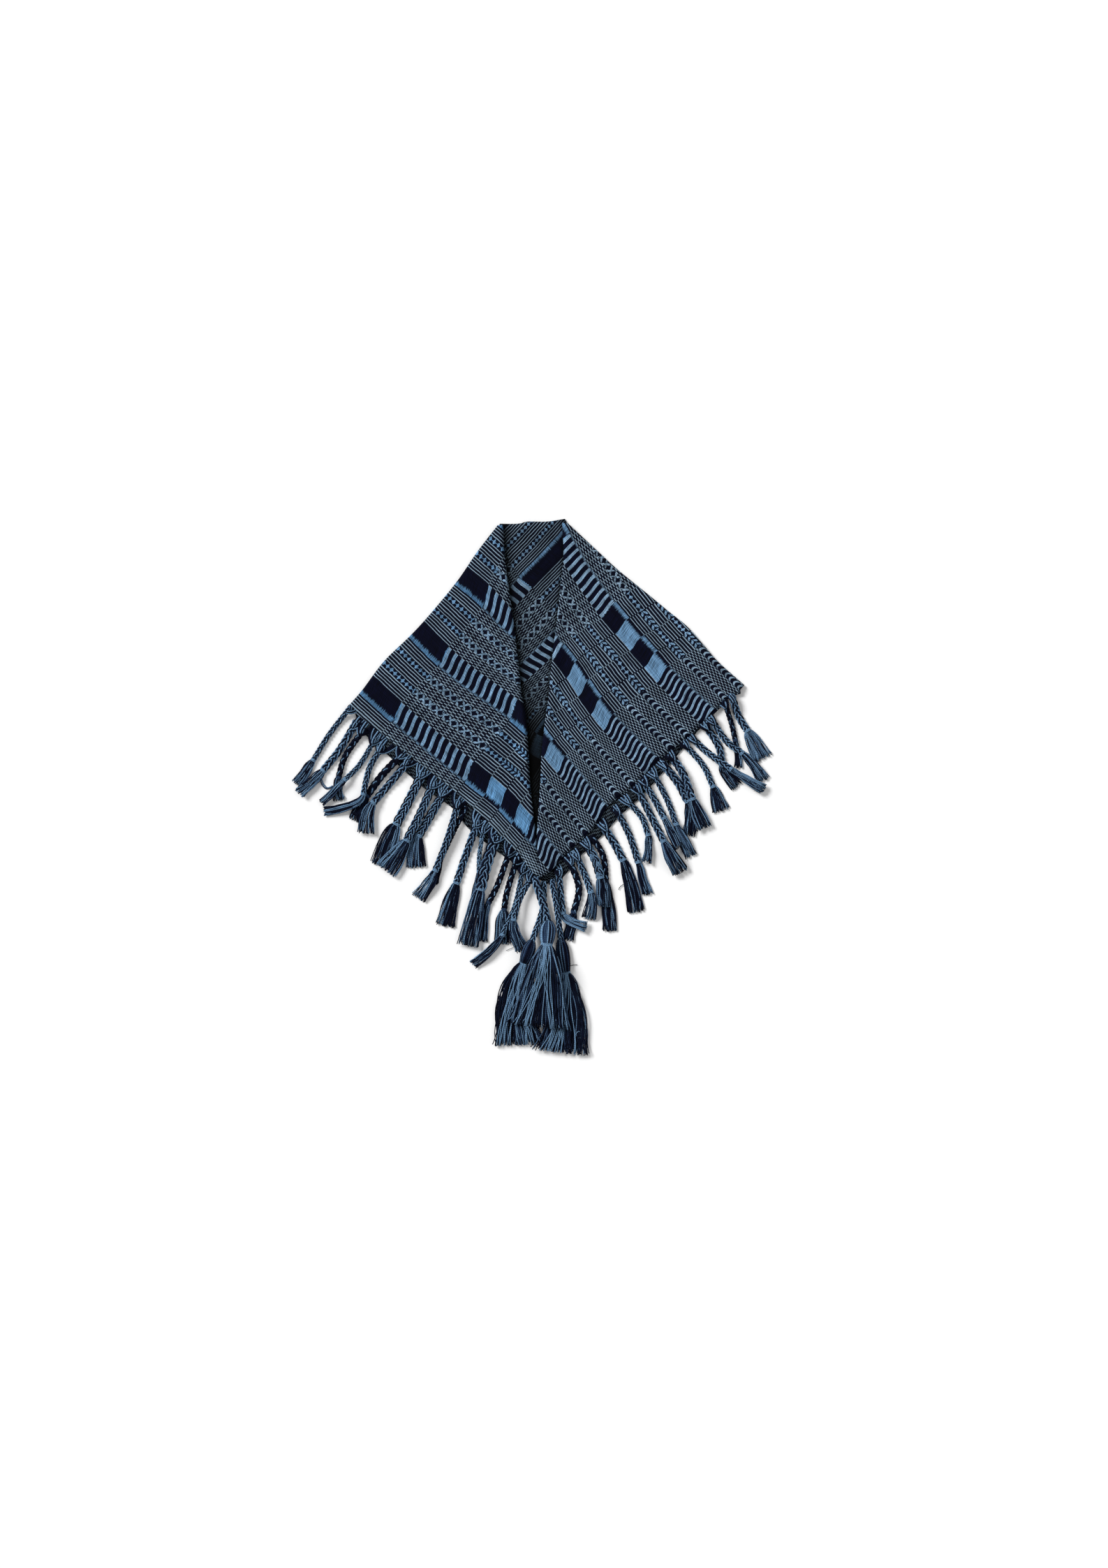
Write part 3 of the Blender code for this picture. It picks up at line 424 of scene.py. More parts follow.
def wing_heights(panel, outer, inner, roll, rise_table, lift=0.0):
    """Lower and upper surface of a wing, with its outer fold closed down to the floor."""
    near = panel.distances()
    base = STACK + GAP
    full = STACK + roll * np.exp(-((near[inner] - INNER_ROUND) / 9.0) ** 2)
    full = full + rises(rise_table, panel.grid) * smoothstep(6, 26, near[outer])
    shape = np.minimum(quarter_round(near[inner] + 0.6, INNER_ROUND),
                       quarter_round(near["top"] + 0.6, INNER_ROUND))
    shape = np.minimum(shape, hem_steps(near["hem"]))
    high = base + 0.4 + (full - 0.4) * shape + lift
    low = np.full(high.shape, base) + lift
    closed = smoothstep(40, 60, near["top"])
    half = (base + STACK) / 2
    bulge = quarter_round(near[outer], FOLD_RADIUS)
    fold_low = np.where(near[outer] < LIP_WIDTH, half - 0.2 - (half - 0.2) * bulge, low)
    low = low + (fold_low - low) * closed
    fold_high = half + 0.2 + (high - half - 0.2) * bulge
    open_high = base + 0.4 + (high - base - 0.4) * bulge
    high = open_high + (fold_high - open_high) * closed
    return low, np.maximum(high, low + 0.4)


def back_heights(panel, opening):
    """Lower and upper surface of the layers under the wings, rolled along the top fold."""
    near = panel.distances()
    low = np.zeros(panel.grid.shape[:2])
    edge = np.minimum(near["left"], near["right"])
    full = STACK + (TOP_ROLL * np.exp(-((near["top"] - 7.0) / 15.0) ** 2)
                    + rises(BACK_RISES, panel.grid)) * opening
    shape = np.minimum(hem_steps(near["hem"]), quarter_round(edge + 1.0, 3.0))
    shape = np.minimum(shape, quarter_round(near["top"] + 0.8, 5.0))
    return low, 0.5 + (full - 0.5) * shape


def left_wing_shape():
    """Its plan, lower and upper surface, places in the weave, and painted shade."""
    panel = Panel(Curve(LEFT_OUTER), Curve(LEFT_INNER), Curve([LEFT_OUTER[0], LEFT_INNER[0]]),
                  Curve(LEFT_HEM), (OUTER_SECTIONS, INNER_SECTIONS),
                  (TOP_SECTIONS, HEM_SECTIONS), (96, 190), fold="left")
    level = panel.grid[..., 1]
    roll = WING_ROLLS["left"] * (1 - smoothstep(1085, 1165, level))
    near = panel.distances()["right"]
    # Painted shade: darker along the wing's inner edge towards the tip, where the cloth turns
    # away from the light
    shade = 1 - 0.45 * (1 - smoothstep(0, 5, near)) * smoothstep(900, 1100, level)
    low, high = wing_heights(panel, "left", "right", roll, LEFT_RISES)
    return panel.grid, low, high, weave_places(LEFT_WEAVE, panel.grid), shade


def right_wing_shape():
    """The same; the wing climbs over the left one near the tip."""
    panel = Panel(Curve(RIGHT_INNER), Curve(RIGHT_OUTER),
                  Curve([RIGHT_INNER[0], RIGHT_OUTER[0]]), Curve(list(reversed(RIGHT_HEM))),
                  (INNER_SECTIONS, OUTER_SECTIONS), (TOP_SECTIONS, HEM_SECTIONS), (96, 190),
                  fold="right")
    near = panel.distances()["left"]
    climb = (STACK + 0.8) * smoothstep(1120, 1170, panel.grid[..., 1])
    lift = climb * (1 - smoothstep(18, 44, near))
    low, high = wing_heights(panel, "right", "left", WING_ROLLS["right"], RIGHT_RISES, lift)
    return panel.grid, low, high, weave_places(RIGHT_WEAVE, panel.grid), np.ones(near.shape)


def back_shape():
    """The same for the back layers, with the shadow of the wings painted on them."""
    shares = np.linspace(0, 1, 14)
    inset = 1.0 + BACK_INSET * smoothstep(0.0, 0.06, shares)
    inset = inset + BACK_INSET * smoothstep(0.9, 1.0, shares)
    left = Curve(LEFT_OUTER).inset(inset, -1)
    right = Curve(RIGHT_OUTER).inset(inset, 1)
    left[0], left[-1] = BACK_TOP[0], BACK_HEM[0]
    right[0], right[-1] = BACK_TOP[-1], BACK_HEM[-1]
    panel = Panel(Curve(left), Curve(right), Curve(BACK_TOP),
                  Curve(BACK_HEM, corners=(BACK_APEX,)),
                  (BACK_SIDE_SECTIONS, BACK_SIDE_SECTIONS),
                  (BACK_TOP_SECTIONS, HEM_SECTIONS), (150, 180))
    x, level = panel.grid[..., 0], panel.grid[..., 1]
    left_x, right_x = (np.interp(level, *Curve(edge).xy.T[::-1])
                       for edge in (LEFT_INNER, RIGHT_INNER))
    room = np.minimum(x - left_x, right_x - x)
    place = weave_places(INNER_WEAVE, panel.grid)
    to_hem = panel.distances()["hem"]
    strip = (1 - smoothstep(26, 30, to_hem))[..., None]
    along = np.stack([1.7 * x % 128 + 206, to_hem * 1.2 - 8], axis=-1)
    place = place + (along - place) * strip
    # Painted shadow and shade: darkest beside the left wing's inner roll and at the right wing's
    # edge,
    # and 0.3 under the wings and on the strip along the hem
    # the open inner layer at most 0.7, darker towards the tip in the valley between the wings,
    shade = 0.10 + 0.60 * smoothstep(-3, 20, x - left_x) * smoothstep(-2, 6, right_x - x)
    shade = shade * (1 - 0.93 * smoothstep(950, 1070, level))
    shade = np.where(room > -3, shade, 0.3)
    low, high = back_heights(panel, smoothstep(8, 26, room))
    return panel.grid, low, high, place, shade


def bend(points, centres):
    """How a thin plate bends at some points for each of its centres."""
    square = ((points[:, None] - centres[None]) ** 2).sum(-1)
    return 0.5 * square * np.log(np.maximum(square, 1e-9))


def weave_places(marks, grid):
    """Places in the weave of a grid's points, by a soft thin plate through known ones."""
    marks = np.array(marks, float)
    centres, count = marks[:, :2], len(marks)
    matrix = np.zeros((count + 3, count + 3))
    matrix[:count, :count] = bend(centres, centres) + PLATE_SOFTNESS * np.eye(count)
    matrix[:count, count] = 1
    matrix[:count, count + 1:] = centres
    matrix[count:, :count] = matrix[:count, count:].T
    values = np.zeros((count + 3, 2))
    values[:count] = marks[:, 2:]
    weights = np.linalg.solve(matrix, values)
    flat = grid.reshape(-1, 2)
    found = bend(flat, centres) @ weights[:count] + weights[count] + flat @ weights[count + 1:]
    return found.reshape(grid.shape)


def band_offset(v):
    """Distance from the nearest float band's middle, with its sign."""
    return (v - BAND_START + BAND_STEP / 2) % BAND_STEP - BAND_STEP / 2


def column_place(u, v, slant):
    """Column number and width along u, and u itself, with the lean of the floats.

    slant is the lean in millimetres at some places along u: the places and the leans."""
    t = band_offset(v)
    lean = np.where(np.abs(t) < SLANT_REACH, np.sin(t / SLANT_REACH * math.pi / 2),
                    np.sign(t) * (BAND_STEP / 2 - np.abs(t)) / (BAND_STEP / 2 - SLANT_REACH))
    starts, ends, stripes = np.array(COLUMNS).T
    edges = np.append(starts, ends[-1])
    numbers = np.append(0, np.cumsum(stripes))
    widths = (ends - starts) / stripes
    leaned = u + np.interp(u, *slant) * lean
    inside = np.clip(leaned, edges[0] + 0.01, edges[-1] - 0.01)
    place = np.interp(inside, edges, numbers)
    width = widths[np.searchsorted(edges, inside) - 1]
    return place, width, leaned


def put(name, data):
    """An object of the scene with some data."""
    item = bpy.data.objects.new(name, data)
    bpy.context.scene.collection.objects.link(item)
    return item


def set_uv(mesh, name, values):
    """A UV map with one value for each vertex."""
    layer = mesh.uv_layers.new(name=name)
    corners = np.empty(len(mesh.loops), np.int32)
    mesh.loops.foreach_get("vertex_index", corners)
    layer.data.foreach_set("uv", values[corners].astype(np.float32).ravel())


def cloth_piece(name, grid, low, high, place, shade, slant, comb_side, material):
    """A closed skin of cloth over a fine grid, with the weave's places and the painted shade as
    UV maps.
    """
    rows, columns = grid.shape[:2]
    u, v = place[..., 0], place[..., 1]
    t = np.abs(band_offset(v))
    relief = 0.28 * (1 - smoothstep(CORE - 2, COMB_END, t))
    relief = relief + 0.12 * (1 - smoothstep(0, BEAD_HALF, np.abs(t - BEAD_PLACE)))
    high = high + relief * smoothstep(0.4, 1.2, high - low)
    points = np.concatenate([np.dstack([grid, low]).reshape(-1, 3),
                             np.dstack([grid, high]).reshape(-1, 3)])
    index = np.arange(rows * columns).reshape(rows, columns)
    quads = np.stack([index[:-1, :-1], index[:-1, 1:], index[1:, 1:], index[1:, :-1]],
                     axis=-1).reshape(-1, 4)
    size = rows * columns
    rim = np.concatenate([index[0, :-1], index[:-1, -1], index[-1, :0:-1], index[:0:-1, 0]])
    after = np.roll(rim, -1)
    sides = np.stack([rim, after, after + size, rim + size], axis=-1)
    faces = np.concatenate([quads, quads[:, ::-1] + size, sides[:, ::-1]])
    mesh = bpy.data.meshes.new(name)
    mesh.from_pydata(to_part(points).tolist(), [], faces.tolist())
    mesh.validate()
    column, width, leaned = column_place(u, v, slant)
    # The side map holds the side of the combs and the painted shade
    pairs = dict(weave=(column, v), threads=(leaned, width),
                 side=(np.full(v.shape, comb_side), shade))
    for label, (first, second) in pairs.items():
        layer = np.stack([first.ravel(), second.ravel()], axis=-1)
        set_uv(mesh, label, np.concatenate([layer, layer]))
    mesh.shade_smooth()
    mesh.materials.append(material)
    return put(name, mesh)


def add_node(tree, kind, inputs, **settings):
    """A shader node with its settings and inputs: signals, sockets or fixed values."""
    node = tree.nodes.new(kind)
    for name, value in settings.items():
        setattr(node, name, value)
    for place, value in inputs.items():
        value = value.socket if isinstance(value, Signal) else value
        if isinstance(value, bpy.types.NodeSocket):
            tree.links.new(value, node.inputs[place])
        else:
            node.inputs[place].default_value = value
    return node


class Signal:
    """A number that a material works out at each point of a surface."""

    def __init__(self, tree, socket):
        self.tree = tree
        self.socket = socket

    def apply(self, operation, *others):
        node = add_node(self.tree, "ShaderNodeMath", dict(enumerate((self, *others))),
                        operation=operation)
        return Signal(self.tree, node.outputs[0])

    def __add__(self, other):
        return self.apply("ADD", other)

    def __sub__(self, other):
        return self.apply("SUBTRACT", other)

    def __mul__(self, other):
        return self.apply("MULTIPLY", other)

    def below(self, limit):
        return self.apply("LESS_THAN", limit)

    def above(self, limit):
        return self.apply("GREATER_THAN", limit)

    def size(self):
        return self.apply("ABSOLUTE")

    def flipped(self):
        """One minus this."""
        return self * -1.0 + 1.0

    def ramp(self, low, high):
        """0 below a low limit to 1 above a high one."""
        node = add_node(self.tree, "ShaderNodeMapRange", {0: self, 1: low, 2: high},
                        interpolation_type="SMOOTHSTEP")
        return Signal(self.tree, node.outputs[0])

    def choose(self, yes, no):
        """yes where this is 1, no where it is 0."""
        return no + (yes - no) * self


def uv_signals(tree, name):
    """The two values of a UV map."""
    source = add_node(tree, "ShaderNodeUVMap", {}, uv_map=name)
    split = add_node(tree, "ShaderNodeSeparateXYZ", {0: source.outputs[0]})
    return Signal(tree, split.outputs[0]), Signal(tree, split.outputs[1])


def noise(tree, x, y, scale, detail):
    """Noise about zero over two signals."""
    join = add_node(tree, "ShaderNodeCombineXYZ", {0: x, 1: y})
    node = add_node(tree, "ShaderNodeTexNoise",
                    {"Vector": join.outputs[0], "Scale": scale, "Detail": detail})
    return Signal(tree, node.outputs[0]) - 0.5


def mix_colours(tree, factor, first, second):
    """Mix of two colours, each a fixed colour or a colour socket."""
    node = add_node(tree, "ShaderNodeMix", {0: factor, 6: first, 7: second}, data_type="RGBA")
    return node.outputs[2]


def scale_colour(tree, colour, factor):
    node = add_node(tree, "ShaderNodeVectorMath", {0: colour, "Scale": factor},
                    operation="SCALE")
    return node.outputs[0]


def bead_light(tree, u, column, parity, offset, width):
    """Light share of a bead row: diamonds, arrow heads, crosses or hooks by its column."""
    wide = width.above(WIDE)
    hooked = width.below(HOOKED)
    wander = noise(tree, u, offset, 0.24, 1.0)
    u = u + wander * 2.2
    offset = offset + wander * 1.6
    high = offset.size()
    diamond = (u.apply("PINGPONG", DIAMOND) * 0.36 + high * 0.27).ramp(1.15, 0.75)
    diamond = diamond.apply("MAXIMUM", high.below(0.5) * 0.6)
    gap = high.ramp(0.2, 1.0)
    place = u.apply("FLOORED_MODULO", ARROW)
    arrow = (place + high * 0.85 - 4.9).size().ramp(2.5, 1.2) * gap
    pair = (column * 0.5).apply("FRACT")
    arm = high * (high * -1.0 + 4.8) * 0.12
    curl = (pair * 12.3 - 6.0 + wander * 5.0).size() - high * 0.95
    cross = (curl.size() - arm).ramp(1.8, 0.6) * (wander * 3.0 + 0.85)
    hook = (pair * 9.2 + high * high * 0.20 - 5.6).size().ramp(2.2, 1.0)
    hook = hook * (offset * 0.09 + wander * 2.0 + 0.9)
    blocks = parity.choose(arrow, diamond)
    stripes = hooked.choose(hook, cross)
    return wide.choose(blocks, stripes)


def new_material(name, values):
    """A material with some fixed values, its node tree and its shader."""
    material = bpy.data.materials.new(name)
    material.use_nodes = True
    shader = material.node_tree.nodes["Principled BSDF"]
    for label, value in values.items():
        shader.inputs[label].default_value = value
    return material, material.node_tree, shader


def join_shader(tree, shader, colour, rough, height, strength, depth):
    """Joins colour, roughness and relief to a shader; depth is in metres."""
    bump = add_node(tree, "ShaderNodeBump",
                    {"Strength": strength, "Distance": depth, "Height": height})
    tree.links.new(bump.outputs[0], shader.inputs["Normal"])
    tree.links.new(colour, shader.inputs["Base Color"])
    tree.links.new(rough.socket, shader.inputs["Roughness"])


def weave_material():
    """Navy and light blue weave: floats, their combs, fine lines and bead rows, darkened by
    painted shade.
    """
    material, tree, shader = new_material("woven_cotton", COTTON)
    column, v = uv_signals(tree, "weave")
    u, width = uv_signals(tree, "threads")
    # The second value of the side map is the painted shade
    side, shade = uv_signals(tree, "side")
    drift = noise(tree, u, v, 0.09, 2.0)
    teeth = noise(tree, u * 0.62, v * 0.02, 1.0, 0.5)
    v = v + drift * 1.6
    column = column + drift * 0.10
    parity = column.apply("FLOOR").apply("FLOORED_MODULO", 2.0).flipped()
    other = parity.flipped()
    signed = (v - BAND_START).apply("WRAP", BAND_STEP / 2, -BAND_STEP / 2)
    t = signed.size()
    combed = signed * side
    float_zone = combed.above(-CORE_END) * combed.below(COMB_END)
    hem = v.below(BAND_START - CORE_END)

    phase = (t.above(BEAD_PLACE) * hem.flipped()).choose(
        (t - BAND_STEP / 2) * (1 / OUTER_PITCH), (t - LINE_START) * (1 / LINE_PITCH))
    wave = (phase * (2 * math.pi) + parity * math.pi).apply("COSINE")
    near_beads = (t - BEAD_PLACE).size().below(BEAD_REACH)
    line = (wave + near_beads * 0.45).ramp(0.3, 0.97)
    edge = ((column + 0.5).apply("FRACT") - 0.5).size() * width
    border_light = (column + 0.5).apply("FLOOR").apply("FLOORED_MODULO", 2.0).flipped()
    line = (edge.below(BORDER) * width.above(NARROW)).choose(border_light * 0.42, line)
    offset = (t - BEAD_PLACE) * signed.apply("SIGN")
    beads = offset.size().below(BEAD_HALF) * hem.flipped()
    bead = bead_light(tree, u, column, parity, offset, width)
    wide = width.above(WIDE)
    reach = wide.choose(teeth * 9.0, teeth * 3.0 - 3.5)
    turned = (combed + reach).ramp(CORE - 1.0, CORE + 3.0)
    stripe = parity * (wide + edge.above(BORDER)).apply("MINIMUM", 1.0)
    floats = turned.choose(other * 0.75, stripe)
    light = float_zone.choose(floats, beads.choose(bead, line))

    streak = noise(tree, u * 1.1, v * 0.06, 1.0, 1.5)
    threads = ((u + streak * 1.2) * (2 * math.pi / THREAD_PITCH)).apply("COSINE")
    weft = (v * (2 * math.pi / THREAD_PITCH)).apply("COSINE")
    plain = float_zone.flipped() * beads.flipped()
    pick = plain.choose(threads * 0.34 + 0.95, streak * 3.0 + threads * 0.48 + weft * 0.10 + 1.0)
    patch = noise(tree, u, v, 0.045, 2.0) * 0.9 + 1.0
    row = noise(tree, u * 0.012, v * 0.55, 1.0, 0.0) * 0.9 + 1.0
    greyed = plain + wide.flipped() * 0.4 + beads * 0.2 + side.above(0) * 0.22
    greyed = greyed.apply("MINIMUM", 1.0)
    blue = mix_colours(tree, greyed, FLOAT_BLUE, LINE_BLUE)
    colour = mix_colours(tree, light, NAVY, blue)
    # Threads, patches and rows vary the tone; the painted shade darkens it
    colour = scale_colour(tree, colour, pick * patch * row * shade)
    rough = light * -0.12 + streak * 0.2 + 0.86
    height = light * 0.7 + plain.choose(threads * 0.25, streak * 1.2 + threads * 0.2)
    join_shader(tree, shader, colour, rough, height, 0.6, 0.0006)
    return material


def yarn_material():
    """Cotton yarn, from navy to light blue by its tone, with twisted plies and painted
    highlights along them.
    """
    material, tree, shader = new_material("cotton_yarn", COTTON)
    length, turn = uv_signals(tree, "yarn")
    tone, seed = uv_signals(tree, "tone")
    twist_bump_and_painted_highlight = ((length * 0.34 + turn * 0.7 + seed * 7.0) * (2 * math.pi)).apply("SINE")
    fibre = noise(tree, length * 0.8, turn * 3.0 + seed * 40.0, 1.0, 2.0)
    patch = noise(tree, length * 0.08, seed * 60.0, 1.0, 1.0)
    light = tone + patch * 0.25
    dark = mix_colours(tree, light.ramp(0.05, 0.35), NAVY, INDIGO)
    colour = mix_colours(tree, light.ramp(0.2, 1.0), dark, YARN_BLUE)
    # Painted highlight: bright dashes along the twisted plies; the same wave gives the yarn its
    # bump
    colour = scale_colour(tree, colour, twist_bump_and_painted_highlight * 0.22 + fibre * 1.7 + 0.95)
    join_shader(tree, shader, colour, fibre * 0.2 + 0.8, twist_bump_and_painted_highlight * 0.5 + fibre, 0.5, 0.0004)
    return material


class Solid:
    """Heights of one or more CAD nodes, by rays from above and below."""

    def __init__(self, names):
        self.trees = []
        for name in names:
            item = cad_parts[name]
            corners = [item.matrix_world @ v.co for v in item.data.vertices]
            faces = [list(p.vertices) for p in item.data.polygons]
            self.trees.append(BVHTree.FromPolygons(corners, faces))

    def height(self, x, y, up):
        """Highest or lowest point at a place, in millimetres, or not a number."""
        px, py, _ = to_part([x, y, 0])
        start = Vector((px, py, 0.2 if up else -0.1))
        way = Vector((0, 0, -1 if up else 1))
        found = [tree.ray_cast(start, way)[0] for tree in self.trees]
        levels = [p.z * 1000 for p in found if p is not None]
        if not levels:
            return np.nan
        return max(levels) if up else min(levels)

    def spans(self, plan, side, half):
        """Lowest and highest point of the solid across each plan point."""
        lows, highs = [], []
        for centre, across, wide in zip(plan, side, half):
            places = [centre + across * wide * k for k in (-0.7, -0.35, 0, 0.35, 0.7)]
            highs.append(np.fmax.reduce([self.height(*p, True) for p in places]))
            lows.append(np.fmin.reduce([self.height(*p, False) for p in places]))
        return fill_gaps(lows), fill_gaps(highs)


def fill_gaps(values):
    """Heights along a line, with those that are missing filled in."""
    values = np.array(values, float)
    known = ~np.isnan(values)
    return np.interp(np.arange(len(values)), np.flatnonzero(known), values[known])


def soften(values, passes=6):
    """Evens out steps in heights along a line."""
    values = np.array(values, float)
    for _ in range(passes):
        values[1:-1] = (values[:-2] + 2 * values[1:-1] + values[2:]) / 4
    return values


class Yarns:
    """Yarn tubes gathered for one mesh."""

    def __init__(self, node, seed):
        self.node = node
        self.solid = Solid([node])
        self.random = np.random.default_rng(seed)
        self.points, self.faces, self.yarn, self.tone = [], [], [], []
        self.count = 0

    def add(self, path, radius, tone, reference=(0, 0, 1)):
        """One tube along a path of layout points, closed at both ends."""
        path = np.asarray(path, float)
        steps = len(path)
        radius = np.broadcast_to(radius, (steps,))
        ahead = unit(np.gradient(path, axis=0))
        up = unit(reference - ahead * (ahead @ reference)[:, None])
        side = np.cross(ahead, up)
        angles = 2 * math.pi * np.arange(TUBE_SIDES) / TUBE_SIDES
        ring = (side[:, None] * np.cos(angles)[None, :, None]
                + up[:, None] * np.sin(angles)[None, :, None])
        points = path[:, None] + ring * radius[:, None, None]
        size = steps * TUBE_SIDES
        index = self.count + np.arange(size).reshape(steps, TUBE_SIDES)
        after = np.roll(index, -1, axis=1)
        quads = np.stack([index[:-1], after[:-1], after[1:], index[1:]], axis=-1)
        self.faces += quads.reshape(-1, 4).tolist()
        self.faces += [index[0, ::-1].tolist(), index[-1].tolist()]
        self.points.append(points.reshape(-1, 3))
        turns = np.abs(np.linspace(-0.5, 0.5, TUBE_SIDES, endpoint=False))
        self.yarn.append(np.stack(np.broadcast_arrays(run_along(path)[:, None], turns[None]),
                                  axis=-1).reshape(-1, 2))
        self.tone.append(np.tile([tone, self.random.random()], (size, 1)))
        self.count += size

    def build(self, material):
        """All the tubes as one piece."""
        name = "dressed_" + self.node
        mesh = bpy.data.meshes.new(name)
        points = np.concatenate(self.points)
        points[:, 2] = np.maximum(points[:, 2], YARN_FLOOR)
        points = to_part(points)
        mesh.from_pydata(points.tolist(), [], [face[::-1] for face in self.faces])
        set_uv(mesh, "yarn", np.concatenate(self.yarn))
        set_uv(mesh, "tone", np.concatenate(self.tone))
        mesh.shade_smooth()
        mesh.materials.append(material)
        return put(name, mesh)


def directions(plan):
    """Sideways directions, one at each plan point."""
    return sideways(unit(np.gradient(plan, axis=0)))


def pick_tone(random, share, faded):
    """Tone of a yarn: light or navy by the share of light ones; some of the rest are faded."""
    chance = random.random()
    if chance < share:
        return random.uniform(0.4, 1.0)
    if chance < share + faded:
        return random.uniform(0.2, 0.45)
    return random.uniform(0.0, 0.16)


def add_braid(yarns, plan, side, low, high, wide, share):
    """Three ribbons of yarn, plaited flat along a line."""
    run = run_along(plan)
    period = BRAID_PERIOD * wide
    middle = (low + high) / 2
    ply = 0.25 * wide
    reach = wide / 2 - ply
    rise = np.maximum((high - low) / 2 - 1.3, 0.5)
    start = yarns.random.random()
    count = 4 if wide > WIDE_BRAID else 3
    thick = 1.15 * ply / count
    for number in range(3):
        angle = 2 * math.pi * (run / period + number / 3 + start)
        line = plan + side * (reach * np.sin(angle))[:, None]
        over = directions(line)
        lift = rise * np.sin(2 * angle)
        core = np.column_stack([line, middle + lift - 0.4])
        yarns.add(core, ply * 0.62, 0.05)
        for k in range(count):
            place = 2 * k / (count - 1) - 1
            offset = over * (place * (ply - thick * 0.8))
            crown = middle + lift + 0.9 - 0.7 * place ** 2
            light = (k + number) % 2 == 0 if share > 0.3 else k == 1 and number == 1
            if yarns.random.random() < 2 * share - 1.1:
                light = True
            tone = yarns.random.uniform(0.5, 1.0) if light else yarns.random.uniform(0, 0.12)
            yarns.add(np.column_stack([line + offset, crown]), thick, tone)


def add_roots(yarns, plan, side_name, spots, share):
    """Bundles of warp ends that gather from under the hem into the start of a braid."""
    slope = LEFT_HEM if side_name == "left" else RIGHT_HEM[::-1]
    tangent = unit(np.subtract(slope[-1], slope[0]))
    outward = sideways(tangent)
    root, ahead = plan[0], unit(plan[3] - plan[0])
    spread = 3.1 * (1 - 0.4 * np.linspace(0, 1, ROOT_STEPS))
    ground = Solid(["back_layers", yarns.node])
    for offset in ROOT_OFFSETS[side_name]:
        offset += yarns.random.uniform(-2, 2)
        start = root + tangent * offset - outward * ROOT_DEPTH[side_name]
        if np.isnan(ground.height(*start, True)):
            continue
        bend = root + tangent * offset * 0.8 + outward * 6
        end = root + ahead * yarns.random.uniform(9, 13)
        line = bow(start, bend, end, ROOT_STEPS)
        tops = soften(fill_gaps([ground.height(*point, True) for point in line]))
        over = directions(line)
        for k in range(4):
            place = (k - 1.5) / 1.5
            crown = tops + 0.9 - 0.9 * place ** 2
            light = (k + spots) % 2 == 0
            tone = yarns.random.uniform(0.7, 1.0) if light else yarns.random.uniform(0, 0.12)
            path = np.column_stack([line + over * (place * spread)[:, None], crown])
            yarns.add(path, ROOT_YARN, tone if yarns.random.random() < 0.3 + share else 0.06)
        spots += 1


def add_wrap(yarns, centre, along, half_width, half_depth, thick, tone):
    """A thread wound round a neck in a few turns."""
    along = np.array([*along, 0.0])
    side = np.array([-along[1], along[0], 0.0])
    angle = np.linspace(0, 2 * math.pi * WRAP_TURNS, 14 * WRAP_TURNS)
    travel = (angle / angle[-1] - 0.5) * WRAP_TURNS * thick * 1.7
    path = (np.array(centre) + along * travel[:, None]
            + side * (half_width * np.cos(angle))[:, None]
            + np.array([0, 0, 1.0]) * (half_depth * np.sin(angle))[:, None])
    yarns.add(path, thick, tone, reference=along)


def tassel_axis(leave, knot, tip, count):
    """The tassel's middle line: it leaves along the braid and bends to its tip."""
    bend = knot + leave * 0.3 * np.hypot(*(tip - knot))
    return bow(knot, bend, tip, count)


def add_skirt(yarns, axis, side, low, high, widths, count, share, wave, lit=None):
    """A bundle of loose yarns that spreads along its middle line in a few wavy locks.

    lit is the rise in the share of light yarns in each of its six parts, from the right."""
    steps = len(axis)
    shares = np.linspace(0, 1, steps)
    middle, depth = (low + high) / 2, (high - low) / 2
    random = yarns.random
    lit = 0.5 * random.random(6) - 0.25 if lit is None else lit
    sway = wave * random.uniform(-2.2, 2.2, SKIRT_LOCKS)
    pace, begin = random.uniform(4, 8, SKIRT_LOCKS), random.uniform(0, 6, SKIRT_LOCKS)
    ahead = unit(axis[-1] - axis[-2])
    for number in range(count):
        place = (number + random.uniform(-0.3, 0.3)) / (count - 1) * 2 - 1
        place = np.clip(place, -1, 1)
        lock = int((place + 1) * (SKIRT_LOCKS / 2 - 0.01))
        room = math.sqrt(max(1 - place ** 2, 0.15))
        drift = random.uniform(-0.16, 0.16) * np.sin(math.pi * shares * random.uniform(0.5, 1.4))
        across = (place + drift) * (widths / 2 - SKIRT_YARN)
        across = across + 0.9 * wave * np.sin(shares * random.uniform(4, 12)
                                              + random.uniform(0, 6)) * np.minimum(1, 5 * shares)
        across = across + sway[lock] * shares * np.sin(shares * pace[lock] + begin[lock])
        across = across + 4.5 * wave * random.uniform(-1, 1) * smoothstep(0.78, 1.2, shares)
        up = random.uniform(-1, 1) * room * np.maximum(depth - SKIRT_YARN, 0.2)
        path = np.column_stack([axis + side * across[:, None], middle + up])
        path[-1, :2] += ahead * random.uniform(-2.5 - 2 * wave, 1.0)
        radii = SKIRT_YARN * (1 - 0.12 * shares)
        light = share - 0.08 + lit[int((place + 1) * 2.99)]
        yarns.add(path, radii, pick_tone(random, light, 0.07 * wave))


def add_loose(yarns, axis, side, high, widths):
    """A few light yarns that wander over a skirt."""
    shares = np.linspace(0, 1, len(axis))
    random = yarns.random
    for _ in range(LOOSE_YARNS):
        start, end = random.uniform(-0.5, 0.5), random.uniform(-0.8, 0.9)
        across = (start + (end - start) * shares) * widths / 2
        wander = np.sin(shares * random.uniform(5, 9) + random.uniform(0, 6))
        across = across + 3.0 * wander * shares
        path = np.column_stack([axis + side * across[:, None], high + 0.3])
        yarns.add(path, LOOSE_YARN, 1.0)


